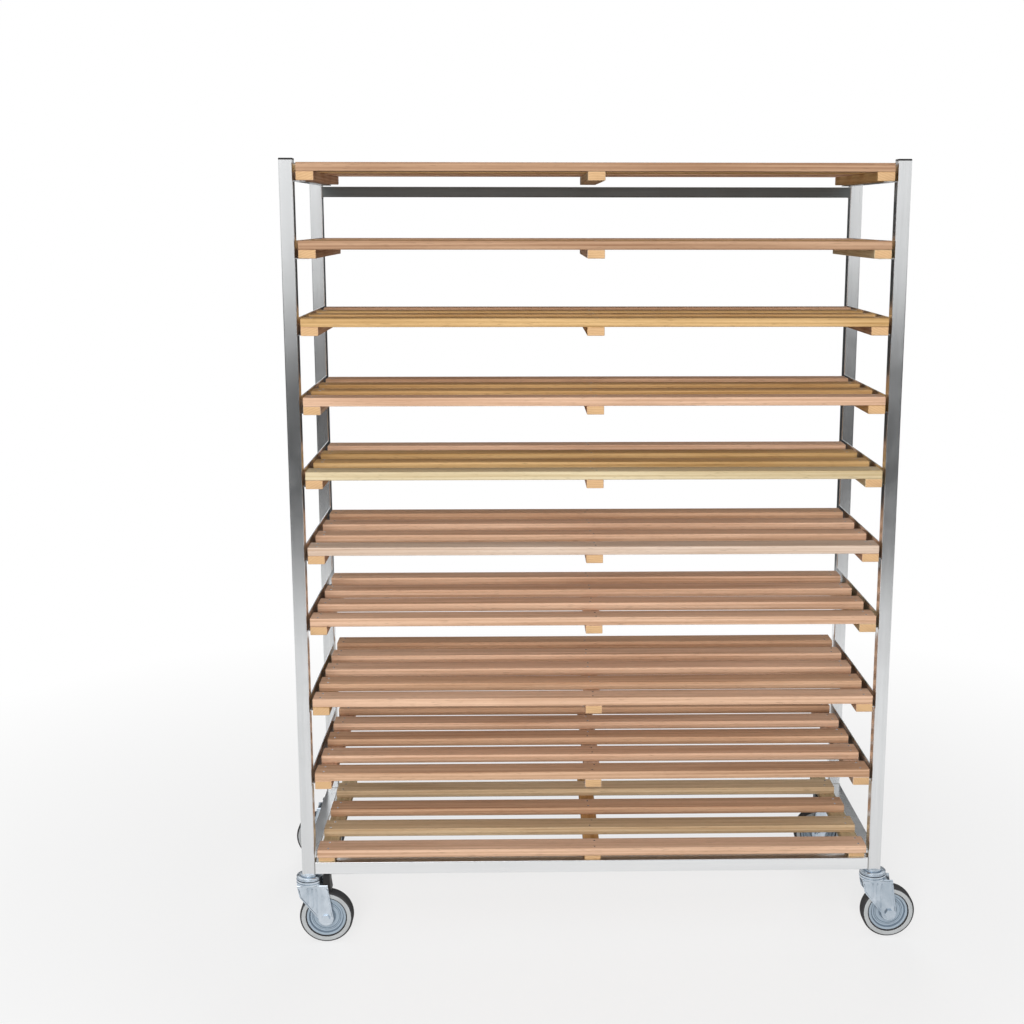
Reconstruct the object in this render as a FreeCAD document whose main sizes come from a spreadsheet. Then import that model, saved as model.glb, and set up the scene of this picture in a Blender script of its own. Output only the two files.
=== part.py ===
import FreeCAD, Part

import math
import os

import Sketcher

# A bakery bread rack: a square-tube frame on four swivel casters, with ten slatted wooden shelves
# that lie loose on angle-iron runners. +X is to the right, +Y to the back and +Z up.
# The origin is on the floor, under the middle of the rack. Every length is in millimetres.

SHELF_COUNT = 10
CLOSE_SHELVES = (8, 9)
LOWEST_SHELF = 10
SHEET = "Sizes"
# how near two numbers are to count as the same
CLOSE = 1e-6

# the driving sizes: each one is written here once and nowhere else
SIZES = {
    # frame of square tube
    "frame_width": 1360,
    "frame_depth": 500,
    "upright_length": 1630,
    "tube_side": 30,
    "tube_wall": 1.5,
    "tube_round": 2.5,
    "rear_rail_side": 25,
    "rear_rail_drop": 47,
    # plastic caps on the uprights
    "cap_thick": 4,
    "cap_round": 1.5,
    "cap_plug_length": 14,
    "cap_plug_wall": 2,
    "plug_gap": 0.2,
    # angle-iron runners, and how far each shelf lies above the one below it
    "runner_thick": 2,
    "runner_upstand": 40,
    "runner_ledge": 25,
    "rise_9": 185,
    "rise_8": 178,
    "rise_7": 190,
    "rise_6": 164,
    "rise_5": 171,
    "rise_4": 165,
    "rise_3": 173,
    "rise_2": 166,
    "rise_1": 165,
    "top_shelf_drop": 43,
    # wooden shelves
    "shelf_overhang": 10,
    "shelf_end_gap": 8,
    "slat_width": 58,
    "slat_thick": 19,
    "slat_round": 2,
    "slats_wide_set": 4,
    "slat_gap_wide_set": 72,
    "slats_close_set": 5,
    "slat_gap_close_set": 57.5,
    "slats_low_set": 4,
    "slat_gap_low_set": 65.5,
    "batten_count": 3,
    "batten_width": 38,
    "batten_thick": 19,
    "batten_round": 1.5,
    # the lowest shelf's battens are thinner, and end on the rails that they lie on
    "low_batten_thick": 15,
    "low_batten_inset": 6,
    # caster wheel
    "wheel_diameter": 125,
    "wheel_width": 32,
    "wheel_trail": 38,
    "tread_round": 7,
    "rim_diameter": 92,
    "rim_lip_width": 6,
    "rim_lip_inset": 2,
    "web_inset": 8,
    "hub_diameter": 34,
    "hub_end_gap": 0.5,
    "bearing_diameter": 20,
    "bearing_recess": 1,
    # caster fork
    "fork_sheet": 3,
    "fork_wheel_gap": 3,
    "fork_front_reach": 28,
    "fork_back_reach": 44,
    "fork_knee_reach": 22,
    "fork_knee_drop": 28,
    "fork_end_radius": 18,
    "fork_bend": 4,
    "crown_clearance": 17.7,
    # swivel head
    "collar_diameter": 40,
    "collar_height": 5,
    "cup_diameter": 58,
    "cup_height": 9,
    "race_diameter": 62,
    "race_height": 10,
    "race_groove_depth": 3,
    "race_groove_height": 2,
    "running_gap": 0.3,
    "plug_length": 45,
    "kingpin_diameter": 12,
    "kingpin_head_diameter": 20,
    "kingpin_head_height": 4,
    # balls of the swivel bearing
    "ball_diameter": 6,
    "ball_ring_diameter": 42,
    "ball_count": 14,
    "ball_gap": 0.1,
    # axle bolt
    "axle_diameter": 12,
    "axle_play": 0.08,
    "bolt_hole_gap": 0.05,
    "bolt_hex": 18,
    "bolt_head_height": 6,
    "nut_height": 8,
    "bolt_tip": 2,
    # brake pedal
    "pedal_width": 32,
    "pedal_front_gap": 2,
    "pedal_foot_depth": 16,
    "pedal_shoe_length": 19,
    "pedal_shoe_drop": 1,
    "pedal_tread_rise": 20,
    "pedal_tyre_gap": 3,
    "pedal_pin_diameter": 5,
    "pedal_pin_inset": 6,
    "pedal_pin_height": 7,
    "pedal_round": 1.5,
    "pedal_notch_gap": 1,
}

# each corner's name, its side (left or right) and its end (front or back)
CORNERS = (
    ("front_left", -1, -1),
    ("front_right", 1, -1),
    ("back_left", -1, 1),
    ("back_right", 1, 1),
)
BRAKED = ("front_left", "back_right")

document = FreeCAD.newDocument("bakery_bread_rack")
nodes = {}


def make_sheet():
    """Writes the driving sizes to a spreadsheet, one named cell each, then what follows from them."""
    sheet = document.addObject("Spreadsheet::Sheet", SHEET)
    rows = dict(SIZES)
    rows.update(
        {
            # heights from the floor up to the caster's head
            "axle_level": "=wheel_diameter / 2",
            "crown_bottom": "=wheel_diameter + crown_clearance",
            "crown_top": "=crown_bottom + fork_sheet",
            "race_top": "=crown_top + race_height",
            "cup_bottom": "=race_top + running_gap",
            "cup_top": "=cup_bottom + cup_height",
            "tube_foot": "=cup_top + collar_height",
            "ball_level": "=race_top + running_gap / 2",
            # the frame's planes
            "half_width": "=frame_width / 2",
            "half_depth": "=frame_depth / 2",
            "inner_half_width": "=half_width - tube_side",
            "inner_half_depth": "=half_depth - tube_side",
            "tube_axis_x": "=half_width - tube_side / 2",
            "tube_axis_y": "=half_depth - tube_side / 2",
            "tube_bore": "=tube_side - 2 * tube_wall",
            "bottom_rail_level": "=tube_foot + tube_side / 2",
            "upright_top": "=tube_foot + upright_length",
            "rear_rail_level": "=upright_top - rear_rail_drop - rear_rail_side / 2",
            # what the shelves lie on: the rises fill the height between the lowest and the top shelf
            "level_10": "=tube_foot + tube_side",
            "shelf_span": "=upright_top - top_shelf_drop - level_10",
            "rise_sum": "=" + " + ".join(f"rise_{number}" for number in range(1, SHELF_COUNT)),
            # shelf sizes
            "shelf_half_length": "=inner_half_width - shelf_end_gap",
            "shelf_front": "=half_depth + shelf_overhang",
            "slat_pitch_wide_set": "=slat_width + slat_gap_wide_set",
            "slat_pitch_close_set": "=slat_width + slat_gap_close_set",
            "slat_pitch_low_set": "=slat_width + slat_gap_low_set",
            "shelf_depth_wide_set": "=slat_width + (slats_wide_set - 1) * slat_pitch_wide_set",
            "shelf_depth_close_set": "=slat_width + (slats_close_set - 1) * slat_pitch_close_set",
            "low_batten_front": "=half_depth - low_batten_inset",
            # fork sizes
            "fork_inner": "=wheel_width / 2 + fork_wheel_gap",
            "fork_outer": "=fork_inner + fork_sheet",
            "fork_knee_level": "=crown_top - fork_knee_drop",
            # the pedal, at the back of the swivel head
            "pedal_front": "=race_diameter / 2 + pedal_front_gap",
            "pedal_sole": "=wheel_diameter + pedal_tyre_gap",
            "pedal_pin_x": "=pedal_front + pedal_pin_inset",
            "pedal_pin_level": "=pedal_sole + pedal_pin_height",
        }
    )
    for number in range(SHELF_COUNT - 1, 0, -1):
        rows[f"level_{number}"] = f"=level_{number + 1} + rise_{number} * shelf_span / rise_sum"
    for row, (alias, value) in enumerate(rows.items(), start=1):
        sheet.set(f"A{row}", alias)
        sheet.set(f"B{row}", str(value))
        sheet.setAlias(f"B{row}", alias)
    document.recompute()
    return sheet


def bind(item, path, formula):
    """Ties one property of an object to a formula of the sheet's names, each marked with a #."""
    item.setExpression(path, formula.replace("#", f"{SHEET}."))


def place(item, x="0", y="0", z="0", axis=None, degrees=0):
    """Turns an object about an axis and puts its origin at three formulas."""
    turn = FreeCAD.Rotation(axis or FreeCAD.Vector(0, 0, 1), degrees)
    item.Placement = FreeCAD.Placement(FreeCAD.Vector(), turn)
    for name, formula in zip("xyz", (x, y, z)):
        bind(item, f"Placement.Base.{name}", formula)


def new_body(name):
    """An empty body with a label of its own."""
    body = document.addObject("PartDesign::Body", name)
    body.Label = name
    body.AllowCompound = True
    return body


def new_group(name, pieces):
    """One object that holds several loose pieces side by side."""
    group = document.addObject("Part::Compound", name)
    group.Links = pieces
    return group


def origin_feature(body, role):
    """One of a body's own origin planes or axes."""
    return next(item for item in body.Origin.OriginFeatures if item.Role == role)


def new_sketch(body, name, role):
    """An empty sketch on one of the body's origin planes."""
    sketch = body.newObject("Sketcher::SketchObject", f"{body.Name}_{name}")
    sketch.AttachmentSupport = [(origin_feature(body, role), "")]
    sketch.MapMode = "FlatFace"
    return sketch


def add_outline(sketch, corners):
    """Adds a closed outline whose corners are pairs of formulas from the sketch's origin."""
    first = sketch.GeometryCount
    count = len(corners)
    ring = [
        FreeCAD.Vector(math.cos(2 * math.pi * i / count), math.sin(2 * math.pi * i / count), 0)
        for i in range(count)
    ]
    for i in range(count):
        sketch.addGeometry(Part.LineSegment(ring[i], ring[(i + 1) % count]), False)
    for i in range(count):
        following = first + (i + 1) % count
        sketch.addConstraint(Sketcher.Constraint("Coincident", first + i, 2, following, 1))
    for i, corner in enumerate(corners):
        for kind, formula in zip(("DistanceX", "DistanceY"), corner):
            index = sketch.addConstraint(Sketcher.Constraint(kind, -1, 1, first + i, 1, 1.0))
            bind(sketch, f"Constraints[{index}]", formula)


def add_rectangle(sketch, left, bottom, right, top):
    """Adds a rectangle between four formulas."""
    add_outline(sketch, [(left, bottom), (right, bottom), (right, top), (left, top)])


def add_centred_rectangle(sketch, half_wide, half_high):
    """Adds a rectangle about the sketch's origin."""
    left, bottom = f"-({half_wide})", f"-({half_high})"
    add_rectangle(sketch, left, bottom, half_wide, half_high)


def add_circle(sketch, x, y, radius):
    """Adds a circle with its middle at two formulas."""
    index = sketch.addGeometry(Part.Circle(FreeCAD.Vector(1, 1, 0), FreeCAD.Vector(0, 0, 1), 1), False)
    for kind, formula in (("DistanceX", x), ("DistanceY", y)):
        constraint = sketch.addConstraint(Sketcher.Constraint(kind, -1, 1, index, 3, 1.0))
        bind(sketch, f"Constraints[{constraint}]", formula)
    constraint = sketch.addConstraint(Sketcher.Constraint("Radius", index, 1.0))
    bind(sketch, f"Constraints[{constraint}]", radius)


def add_hexagon(sketch, across_flats):
    """Adds a hexagon about the sketch's origin, with two flats level."""
    corner = f"{across_flats} / 2 / cos(30)"
    points = [(f"{corner} * cos({60 * i})", f"{corner} * sin({60 * i})") for i in range(6)]
    add_outline(sketch, points)


def add_pad(body, sketch, length, name, centred=False, backwards=False):
    """Pads a sketch by a formula's length."""
    pad = body.newObject("PartDesign::Pad", f"{body.Name}_{name}")
    pad.Profile = sketch
    pad.Midplane = centred
    pad.Reversed = backwards
    bind(pad, "Length", length)
    document.recompute()
    return pad


def add_pocket(body, sketch, name):
    """Cuts a sketch right through the body, on both sides of its plane."""
    before = body.Shape.Volume
    pocket = body.newObject("PartDesign::Pocket", f"{body.Name}_{name}")
    pocket.Profile = sketch
    pocket.Type = "ThroughAll"
    pocket.Midplane = True
    document.recompute()
    if body.Shape.Volume >= before:
        raise RuntimeError(f"{pocket.Name} cuts nothing")
    return pocket


def add_turned(body, name, corners, role="XZ_Plane", axis="V_Axis"):
    """Turns an outline of (radius, height) formulas about one axis of its sketch."""
    sketch = new_sketch(body, f"{name}_section", role)
    add_outline(sketch, corners)
    turned = body.newObject("PartDesign::Revolution", f"{body.Name}_{name}")
    turned.Profile = sketch
    turned.ReferenceAxis = (sketch, [axis])
    turned.Angle = 360
    document.recompute()
    return turned


def add_ball_groove(body):
    """Cuts the ring-shaped groove that the swivel's balls run in."""
    before = body.Shape.Volume
    sketch = new_sketch(body, "ball_path", "XZ_Plane")
    add_circle(sketch, "#ball_ring_diameter / 2", "#ball_level", "#ball_diameter / 2 + #ball_gap")
    groove = body.newObject("PartDesign::Groove", f"{body.Name}_ball_groove")
    groove.Profile = sketch
    groove.ReferenceAxis = (sketch, ["V_Axis"])
    groove.Angle = 360
    document.recompute()
    if body.Shape.Volume >= before:
        raise RuntimeError(f"{groove.Name} cuts nothing")


def round_edges(body, base, radius, name, wanted):
    """Rounds those edges of a feature that the test picks."""
    edges = [f"Edge{i + 1}" for i, edge in enumerate(base.Shape.Edges) if wanted(edge)]
    rounding = body.newObject("PartDesign::Fillet", f"{body.Name}_{name}")
    rounding.Base = (base, edges)
    bind(rounding, "Radius", radius)
    document.recompute()
    return rounding


def runs_along(direction):
    """A test for straight edges that lie along a direction."""
    wanted = FreeCAD.Vector(*direction)

    def test(edge):
        straight = isinstance(edge.Curve, Part.Line)
        return straight and abs(abs(edge.Curve.Direction.dot(wanted)) - 1) < CLOSE

    return test


def keep(name, item):
    """Lists an object as a finished sub-part."""
    item.Label = name
    nodes[name] = item
    return item


# --- frame ---------------------------------------------------------------------------------


def square_tube(name, side, length):
    """A square tube about its own Z axis, with rounded outer corners."""
    body = new_body(name)
    section = new_sketch(body, "section", "XY_Plane")
    add_centred_rectangle(section, f"{side} / 2", f"{side} / 2")
    bar = add_pad(body, section, length, "bar", centred=True)
    rounded = round_edges(body, bar, "#tube_round", "corners", runs_along((0, 0, 1)))
    body.Tip = rounded
    bore = new_sketch(body, "bore", "XY_Plane")
    add_centred_rectangle(bore, f"{side} / 2 - #tube_wall", f"{side} / 2 - #tube_wall")
    add_pocket(body, bore, "hollow")
    return keep(name, body)


def make_uprights():
    """The four upright tubes, which stand on the casters."""
    middle = "#tube_foot + #upright_length / 2"
    for name, side, end in CORNERS:
        tube = square_tube(f"upright_{name}", "#tube_side", "#upright_length")
        place(tube, f"{side} * #tube_axis_x", f"{end} * #tube_axis_y", middle)


def make_rails():
    """Four rails between the uprights' feet and one near their tops at the back."""
    along_x = FreeCAD.Vector(0, 1, 0)
    along_y = FreeCAD.Vector(1, 0, 0)
    for name, end in (("front", -1), ("back", 1)):
        rail = square_tube(f"bottom_rail_{name}", "#tube_side", "2 * #inner_half_width")
        place(rail, "0", f"{end} * #tube_axis_y", "#bottom_rail_level", along_x, 90)
    for name, side in (("left", -1), ("right", 1)):
        rail = square_tube(f"bottom_rail_{name}", "#tube_side", "2 * #inner_half_depth")
        place(rail, f"{side} * #tube_axis_x", "0", "#bottom_rail_level", along_y, 90)
    rail = square_tube("top_rail_back", "#rear_rail_side", "2 * #inner_half_width")
    place(rail, "0", "#tube_axis_y", "#rear_rail_level", along_x, 90)


def make_caps():
    """Plastic caps that close the uprights, each with a hollow plug inside the tube."""
    caps = []
    for name, side, end in CORNERS:
        body = new_body(f"cap_{name}")
        top = new_sketch(body, "top", "XY_Plane")
        add_centred_rectangle(top, "#tube_side / 2", "#tube_side / 2")
        plate = add_pad(body, top, "#cap_thick", "plate")
        body.Tip = round_edges(body, plate, "#tube_round", "corners", runs_along((0, 0, 1)))
        rim = round_edges(body, body.Tip, "#cap_round", "rim", cap_rim)
        body.Tip = rim
        plug = new_sketch(body, "plug", "XY_Plane")
        outer = "#tube_bore / 2 - #plug_gap"
        inner = "#tube_bore / 2 - #plug_gap - #cap_plug_wall"
        add_centred_rectangle(plug, outer, outer)
        add_centred_rectangle(plug, inner, inner)
        add_pad(body, plug, "#cap_plug_length", "plug_walls", backwards=True)
        place(body, f"{side} * #tube_axis_x", f"{end} * #tube_axis_y", "#upright_top")
        caps.append(body)
    keep("upright_caps", new_group("upright_caps", caps))


def cap_rim(edge):
    """A test for the edges round the top of a cap."""
    box = edge.BoundBox
    return box.ZLength < CLOSE and box.ZMin > SIZES["cap_thick"] / 2


def make_runners():
    """Nine angle irons on each side, between the front and the back upright."""
    for name, side in (("left", -1), ("right", 1)):
        irons = []
        for number in range(1, SHELF_COUNT):
            iron = new_body(f"runner_{name}_{number}")
            section = new_sketch(iron, "section", "XZ_Plane")
            wall = "#inner_half_width + #runner_thick"
            lip = "#inner_half_width + #runner_thick - #runner_ledge"
            corners = [
                (f"{side} * ({lip})", "-#runner_thick"),
                (f"{side} * ({wall})", "-#runner_thick"),
                (f"{side} * ({wall})", "#runner_upstand - #runner_thick"),
                (f"{side} * #inner_half_width", "#runner_upstand - #runner_thick"),
                (f"{side} * #inner_half_width", "0"),
                (f"{side} * ({lip})", "0"),
            ]
            add_outline(section, corners)
            add_pad(iron, section, "2 * #inner_half_depth", "angle", centred=True)
            place(iron, z=f"#level_{number}")
            irons.append(iron)
        keep(f"runners_{name}", new_group(f"runners_{name}", irons))


# --- shelves -------------------------------------------------------------------------------


def add_row(body, originals, axis, count, spacing):
    """Repeats features along one of the body's axes."""
    row = body.newObject("PartDesign::LinearPattern", f"{body.Name}_row")
    row.Originals = originals
    row.Direction = (origin_feature(body, axis), [""])
    row.Mode = "Spacing"
    bind(row, "Occurrences", count)
    bind(row, "Offset", spacing)
    body.Tip = row
    document.recompute()


def make_slats(number, kind, batten_thick):
    """The slats of one shelf, on top of its battens."""
    body = new_body(f"shelf_{number}_slats")
    section = new_sketch(body, "section", "YZ_Plane")
    add_rectangle(section, "0", "0", "#slat_width", "#slat_thick")
    bar = add_pad(body, section, "2 * #shelf_half_length", "slat", centred=True)
    rounded = round_edges(body, bar, "#slat_round", "edges", runs_along((1, 0, 0)))
    add_row(body, [bar, rounded], "Y_Axis", f"#slats_{kind}", f"#slat_pitch_{kind}")
    keep(f"shelf_{number}_slats", body)
    place(body, y="-#shelf_front", z=f"#level_{number} + {batten_thick}")


def make_battens(number, front, depth, thick):
    """The cross battens under one shelf, which lie on the runners or the bottom rails."""
    body = new_body(f"shelf_{number}_battens")
    section = new_sketch(body, "section", "XZ_Plane")
    add_rectangle(section, "0", "0", "#batten_width", thick)
    bar = add_pad(body, section, depth, "batten", backwards=True)
    rounded = round_edges(body, bar, "#batten_round", "edges", lower_batten_edge)
    pitch = "(2 * #shelf_half_length - #batten_width) / (#batten_count - 1)"
    add_row(body, [bar, rounded], "X_Axis", "#batten_count", pitch)
    keep(f"shelf_{number}_battens", body)
    place(body, x="-#shelf_half_length", y=f"-{front}", z=f"#level_{number}")


def lower_batten_edge(edge):
    """A test for a batten's long lower edges."""
    return runs_along((0, 1, 0))(edge) and edge.BoundBox.ZMax < CLOSE


def make_shelves():
    """Ten loose shelves, numbered from the top; the lowest one lies on the front and back rails."""
    for number in range(1, SHELF_COUNT + 1):
        if number == LOWEST_SHELF:
            make_slats(number, "low_set", "#low_batten_thick")
            make_battens(number, "#low_batten_front", "2 * #low_batten_front", "#low_batten_thick")
            continue
        kind = "close_set" if number in CLOSE_SHELVES else "wide_set"
        make_slats(number, kind, "#batten_thick")
        make_battens(number, "#shelf_front", f"#shelf_depth_{kind}", "#batten_thick")


# --- casters -------------------------------------------------------------------------------
# Each caster is drawn about its swivel axis, with its wheel trailing to +X, and then turned.


def make_fitting(name):
    """The fixed half of the swivel: a plug inside the tube, the collar, the upper cup and the kingpin."""
    body = new_body(f"caster_{name}_fitting")
    pin = "#kingpin_diameter / 2"
    head = "#kingpin_head_diameter / 2"
    head_top = "#crown_bottom - #running_gap"
    head_bottom = f"{head_top} - #kingpin_head_height"
    profile = [
        ("0", head_bottom),
        (head, head_bottom),
        (head, head_top),
        (pin, head_top),
        (pin, "#cup_bottom"),
        ("#cup_diameter / 2 - #race_groove_depth", "#cup_bottom"),
        ("#cup_diameter / 2 - #race_groove_depth", "#cup_bottom + #race_groove_height"),
        ("#cup_diameter / 2", "#cup_bottom + #race_groove_height"),
        ("#cup_diameter / 2", "#cup_top - #race_groove_height"),
        ("#cup_diameter / 2 - #race_groove_depth", "#cup_top"),
        ("#collar_diameter / 2", "#cup_top"),
        ("#collar_diameter / 2", "#tube_foot"),
        ("0", "#tube_foot"),
    ]
    add_turned(body, "head", profile)
    add_ball_groove(body)
    side = "#tube_bore / 2 - #plug_gap"
    plug = new_sketch(body, "plug", "XY_Plane")
    add_centred_rectangle(plug, side, side)
    bind(plug, "AttachmentOffset.Base.z", "#tube_foot")
    add_pad(body, plug, "#plug_length", "plug_block")
    return keep(f"caster_{name}_fitting", body)


def make_fork(name, braked):
    """The pressed fork, with the lower race on its crown and holes for the kingpin and the axle."""
    body = new_body(f"caster_{name}_fork")
    side = new_sketch(body, "side", "XZ_Plane")
    outline = [
        ("-#fork_front_reach", "#crown_top"),
        ("-#fork_knee_reach", "#fork_knee_level"),
        ("#wheel_trail - #fork_end_radius", "#axle_level"),
        ("#wheel_trail + #fork_end_radius", "#axle_level"),
        ("#fork_back_reach", "#crown_top"),
    ]
    add_outline(side, outline)
    blank = add_pad(body, side, "2 * #fork_outer", "blank", centred=True)
    bent = round_edges(body, blank, "#fork_bend", "bends", fork_bend)
    body.Tip = bent
    ends = new_sketch(body, "ends", "XZ_Plane")
    add_circle(ends, "#wheel_trail", "#axle_level", "#fork_end_radius")
    add_pad(body, ends, "2 * #fork_outer", "round_ends", centred=True)
    channel = new_sketch(body, "channel", "YZ_Plane")
    below = "#axle_level - #fork_end_radius - #fork_sheet"
    add_rectangle(channel, "-#fork_inner", below, "#fork_inner", "#crown_bottom")
    add_pocket(body, channel, "wheel_room")
    notch = new_sketch(body, "notch", "XY_Plane")
    notch_front = "#pedal_front - #pedal_notch_gap"
    add_rectangle(notch, notch_front, "-#fork_inner", "#fork_back_reach + #fork_sheet", "#fork_inner")
    add_pocket(body, notch, "pedal_room")
    holes = new_sketch(body, "holes", "XZ_Plane")
    add_circle(holes, "#wheel_trail", "#axle_level", "#axle_diameter / 2 + #bolt_hole_gap")
    if braked:
        pin_hole = "#pedal_pin_diameter / 2 + #bolt_hole_gap"
        add_circle(holes, "#pedal_pin_x", "#pedal_pin_level", pin_hole)
    add_pocket(body, holes, "cross_holes")
    race = "#race_diameter / 2"
    groove = "#race_diameter / 2 - #race_groove_depth"
    groove_low = "#crown_top + (#race_height - #race_groove_height) / 2"
    groove_high = "#crown_top + (#race_height + #race_groove_height) / 2"
    bore = "#kingpin_diameter / 2 + #running_gap"
    profile = [
        (bore, "#crown_top"),
        (race, "#crown_top"),
        (race, groove_low),
        (groove, groove_low),
        (groove, groove_high),
        (race, groove_high),
        (race, "#race_top"),
        (bore, "#race_top"),
    ]
    add_turned(body, "race", profile)
    add_ball_groove(body)
    kingpin = new_sketch(body, "kingpin", "XY_Plane")
    add_circle(kingpin, "0", "0", bore)
    add_pocket(body, kingpin, "kingpin_hole")
    return keep(f"caster_{name}_fork", body)


def make_balls(name):
    """The ring of balls between the upper cup and the lower race."""
    body = new_body(f"caster_{name}_balls")
    ball = body.newObject("PartDesign::AdditiveSphere", f"{body.Name}_ball")
    bind(ball, "Radius", "#ball_diameter / 2")
    bind(ball, "AttachmentOffset.Base.x", "#ball_ring_diameter / 2")
    bind(ball, "AttachmentOffset.Base.z", "#ball_level")
    ball.AttachmentSupport = [(origin_feature(body, "XY_Plane"), "")]
    ball.MapMode = "FlatFace"
    document.recompute()
    ring = body.newObject("PartDesign::PolarPattern", f"{body.Name}_ring")
    ring.Originals = [ball]
    ring.Axis = (origin_feature(body, "Z_Axis"), [""])
    ring.Angle = 360
    bind(ring, "Occurrences", "#ball_count")
    body.Tip = ring
    document.recompute()
    return keep(f"caster_{name}_balls", body)


def fork_bend(edge):
    """A test for the two long edges where the crown bends down into the legs."""
    return runs_along((1, 0, 0))(edge) and edge.BoundBox.ZMin > SIZES["wheel_diameter"]


def make_rim(name):
    """The wheel's rim: a hub on the axle, a thin web and a lip that the tyre sits on."""
    body = new_body(f"caster_{name}_rim")
    bore = "#axle_diameter / 2 + #axle_play"
    hub = "#fork_inner - #hub_end_gap"
    web = "#wheel_width / 2 - #web_inset"
    lip = "#wheel_width / 2 - #rim_lip_inset"
    bearing = "#bearing_diameter / 2"
    half = [
        (bore, f"{hub} - #bearing_recess"),
        (bearing, f"{hub} - #bearing_recess"),
        (bearing, hub),
        ("#hub_diameter / 2", hub),
        ("#hub_diameter / 2 + (#fork_inner - #hub_end_gap - #wheel_width / 2 + #web_inset) / 2", web),
        ("#rim_diameter / 2 - #rim_lip_width", web),
        ("#rim_diameter / 2 - #rim_lip_width", lip),
        ("#rim_diameter / 2", lip),
    ]
    other = [(radius, f"-({side})") for radius, side in reversed(half)]
    add_turned(body, "wheel", half + other, role="XY_Plane")
    return keep(f"caster_{name}_rim", body)


def make_tyre(name):
    """The tyre, with round shoulders."""
    body = new_body(f"caster_{name}_tyre")
    inner = "#rim_diameter / 2"
    outer = "#wheel_diameter / 2"
    half = "#wheel_width / 2"
    corners = [(inner, f"-({half})"), (outer, f"-({half})"), (outer, half), (inner, half)]
    band = add_turned(body, "band", corners, role="XY_Plane")
    round_edges(body, band, "#tread_round", "shoulders", tyre_shoulder)
    return keep(f"caster_{name}_tyre", body)


def tyre_shoulder(edge):
    """A test for the tyre's two outer edges, which lie nearer to the tread than to the rim."""
    halfway = (SIZES["rim_diameter"] + SIZES["wheel_diameter"]) / 4
    return isinstance(edge.Curve, Part.Circle) and edge.Curve.Radius > halfway


def make_axle(name):
    """The axle bolt across the fork, and its nut."""
    bolt = new_body(f"caster_{name}_bolt")
    head = new_sketch(bolt, "head", "XZ_Plane")
    add_hexagon(head, "#bolt_hex")
    bind(head, "AttachmentOffset.Base.z", "#fork_outer")
    add_pad(bolt, head, "#bolt_head_height", "head_block")
    shank = new_sketch(bolt, "shank", "XZ_Plane")
    add_circle(shank, "0", "0", "#axle_diameter / 2")
    bind(shank, "AttachmentOffset.Base.z", "#fork_outer")
    add_pad(bolt, shank, "2 * #fork_outer + #nut_height + #bolt_tip", "shank_rod", backwards=True)
    nut = new_body(f"caster_{name}_nut")
    ring = new_sketch(nut, "ring", "XZ_Plane")
    add_hexagon(ring, "#bolt_hex")
    add_circle(ring, "0", "0", "#axle_diameter / 2 + #bolt_hole_gap")
    bind(ring, "AttachmentOffset.Base.z", "-#fork_outer")
    add_pad(nut, ring, "#nut_height", "nut_block", backwards=True)
    return keep(f"caster_{name}_axle", new_group(f"caster_{name}_axle", [bolt, nut]))


def make_pedal(name):
    """The brake pedal, which tips about a pin in the fork until its shoe meets the tyre."""
    body = new_body(f"caster_{name}_pedal")
    side = new_sketch(body, "side", "XZ_Plane")
    waist = "#crown_top + #fork_sheet"
    outline = [
        ("#pedal_front", "#pedal_sole"),
        ("#pedal_front + #pedal_shoe_length", "#pedal_sole - #pedal_shoe_drop"),
        ("#pedal_front + #pedal_foot_depth", waist),
        ("#pedal_front + #pedal_foot_depth", f"{waist} + #pedal_tread_rise"),
        ("#pedal_front", f"{waist} + #pedal_tread_rise"),
    ]
    add_outline(side, outline)
    block = add_pad(body, side, "#pedal_width", "block", centred=True)
    body.Tip = round_edges(body, block, "#pedal_round", "edges", runs_along((0, 1, 0)))
    hole = new_sketch(body, "hole", "XZ_Plane")
    add_circle(hole, "#pedal_pin_x", "#pedal_pin_level", "#pedal_pin_diameter / 2 + #axle_play")
    add_pocket(body, hole, "pin_hole")
    return keep(f"caster_{name}_pedal", body)


def make_pedal_pin(name):
    """The pin that the pedal tips about, across the two legs of the fork."""
    body = new_body(f"caster_{name}_pedal_pin")
    section = new_sketch(body, "section", "XZ_Plane")
    add_circle(section, "#pedal_pin_x", "#pedal_pin_level", "#pedal_pin_diameter / 2")
    add_pad(body, section, "2 * #fork_outer + #bolt_tip", "rod", centred=True)
    return keep(f"caster_{name}_pedal_pin", body)


def make_casters():
    """A caster under each upright: the front wheels trail to the right, the back ones to the left."""
    for name, side, end in CORNERS:
        heading = -end
        degrees = 0 if heading > 0 else 180
        braked = name in BRAKED
        x = f"{side} * #tube_axis_x"
        y = f"{end} * #tube_axis_y"
        upright_pieces = [make_fitting(name), make_balls(name), make_fork(name, braked)]
        if braked:
            upright_pieces += [make_pedal(name), make_pedal_pin(name)]
        for piece in upright_pieces:
            place(piece, x, y, degrees=degrees)
        wheel_x = f"{x} + {heading} * #wheel_trail"
        for piece in (make_rim(name), make_tyre(name), make_axle(name)):
            place(piece, wheel_x, y, "#axle_level", degrees=degrees)


# --- the whole rack ------------------------------------------------------------------------


def check_objects():
    """Stops if an object failed, or if a sub-part's shape is empty or not valid."""
    for item in document.Objects:
        if "Invalid" in item.State or "Error" in item.State:
            raise RuntimeError(f"{item.Name} failed: {item.State}")
    for name, item in nodes.items():
        if item.Shape.isNull() or not item.Shape.isValid() or not item.Shape.Solids:
            raise RuntimeError(f"{name} has no valid solid")


def export_nodes():
    """Writes each sub-part to its own STEP file."""
    os.makedirs("parts", exist_ok=True)
    for name, item in nodes.items():
        item.Shape.exportStep(f"parts/{name}.step")
        print(name, len(item.Shape.Solids), round(item.Shape.Volume))


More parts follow.
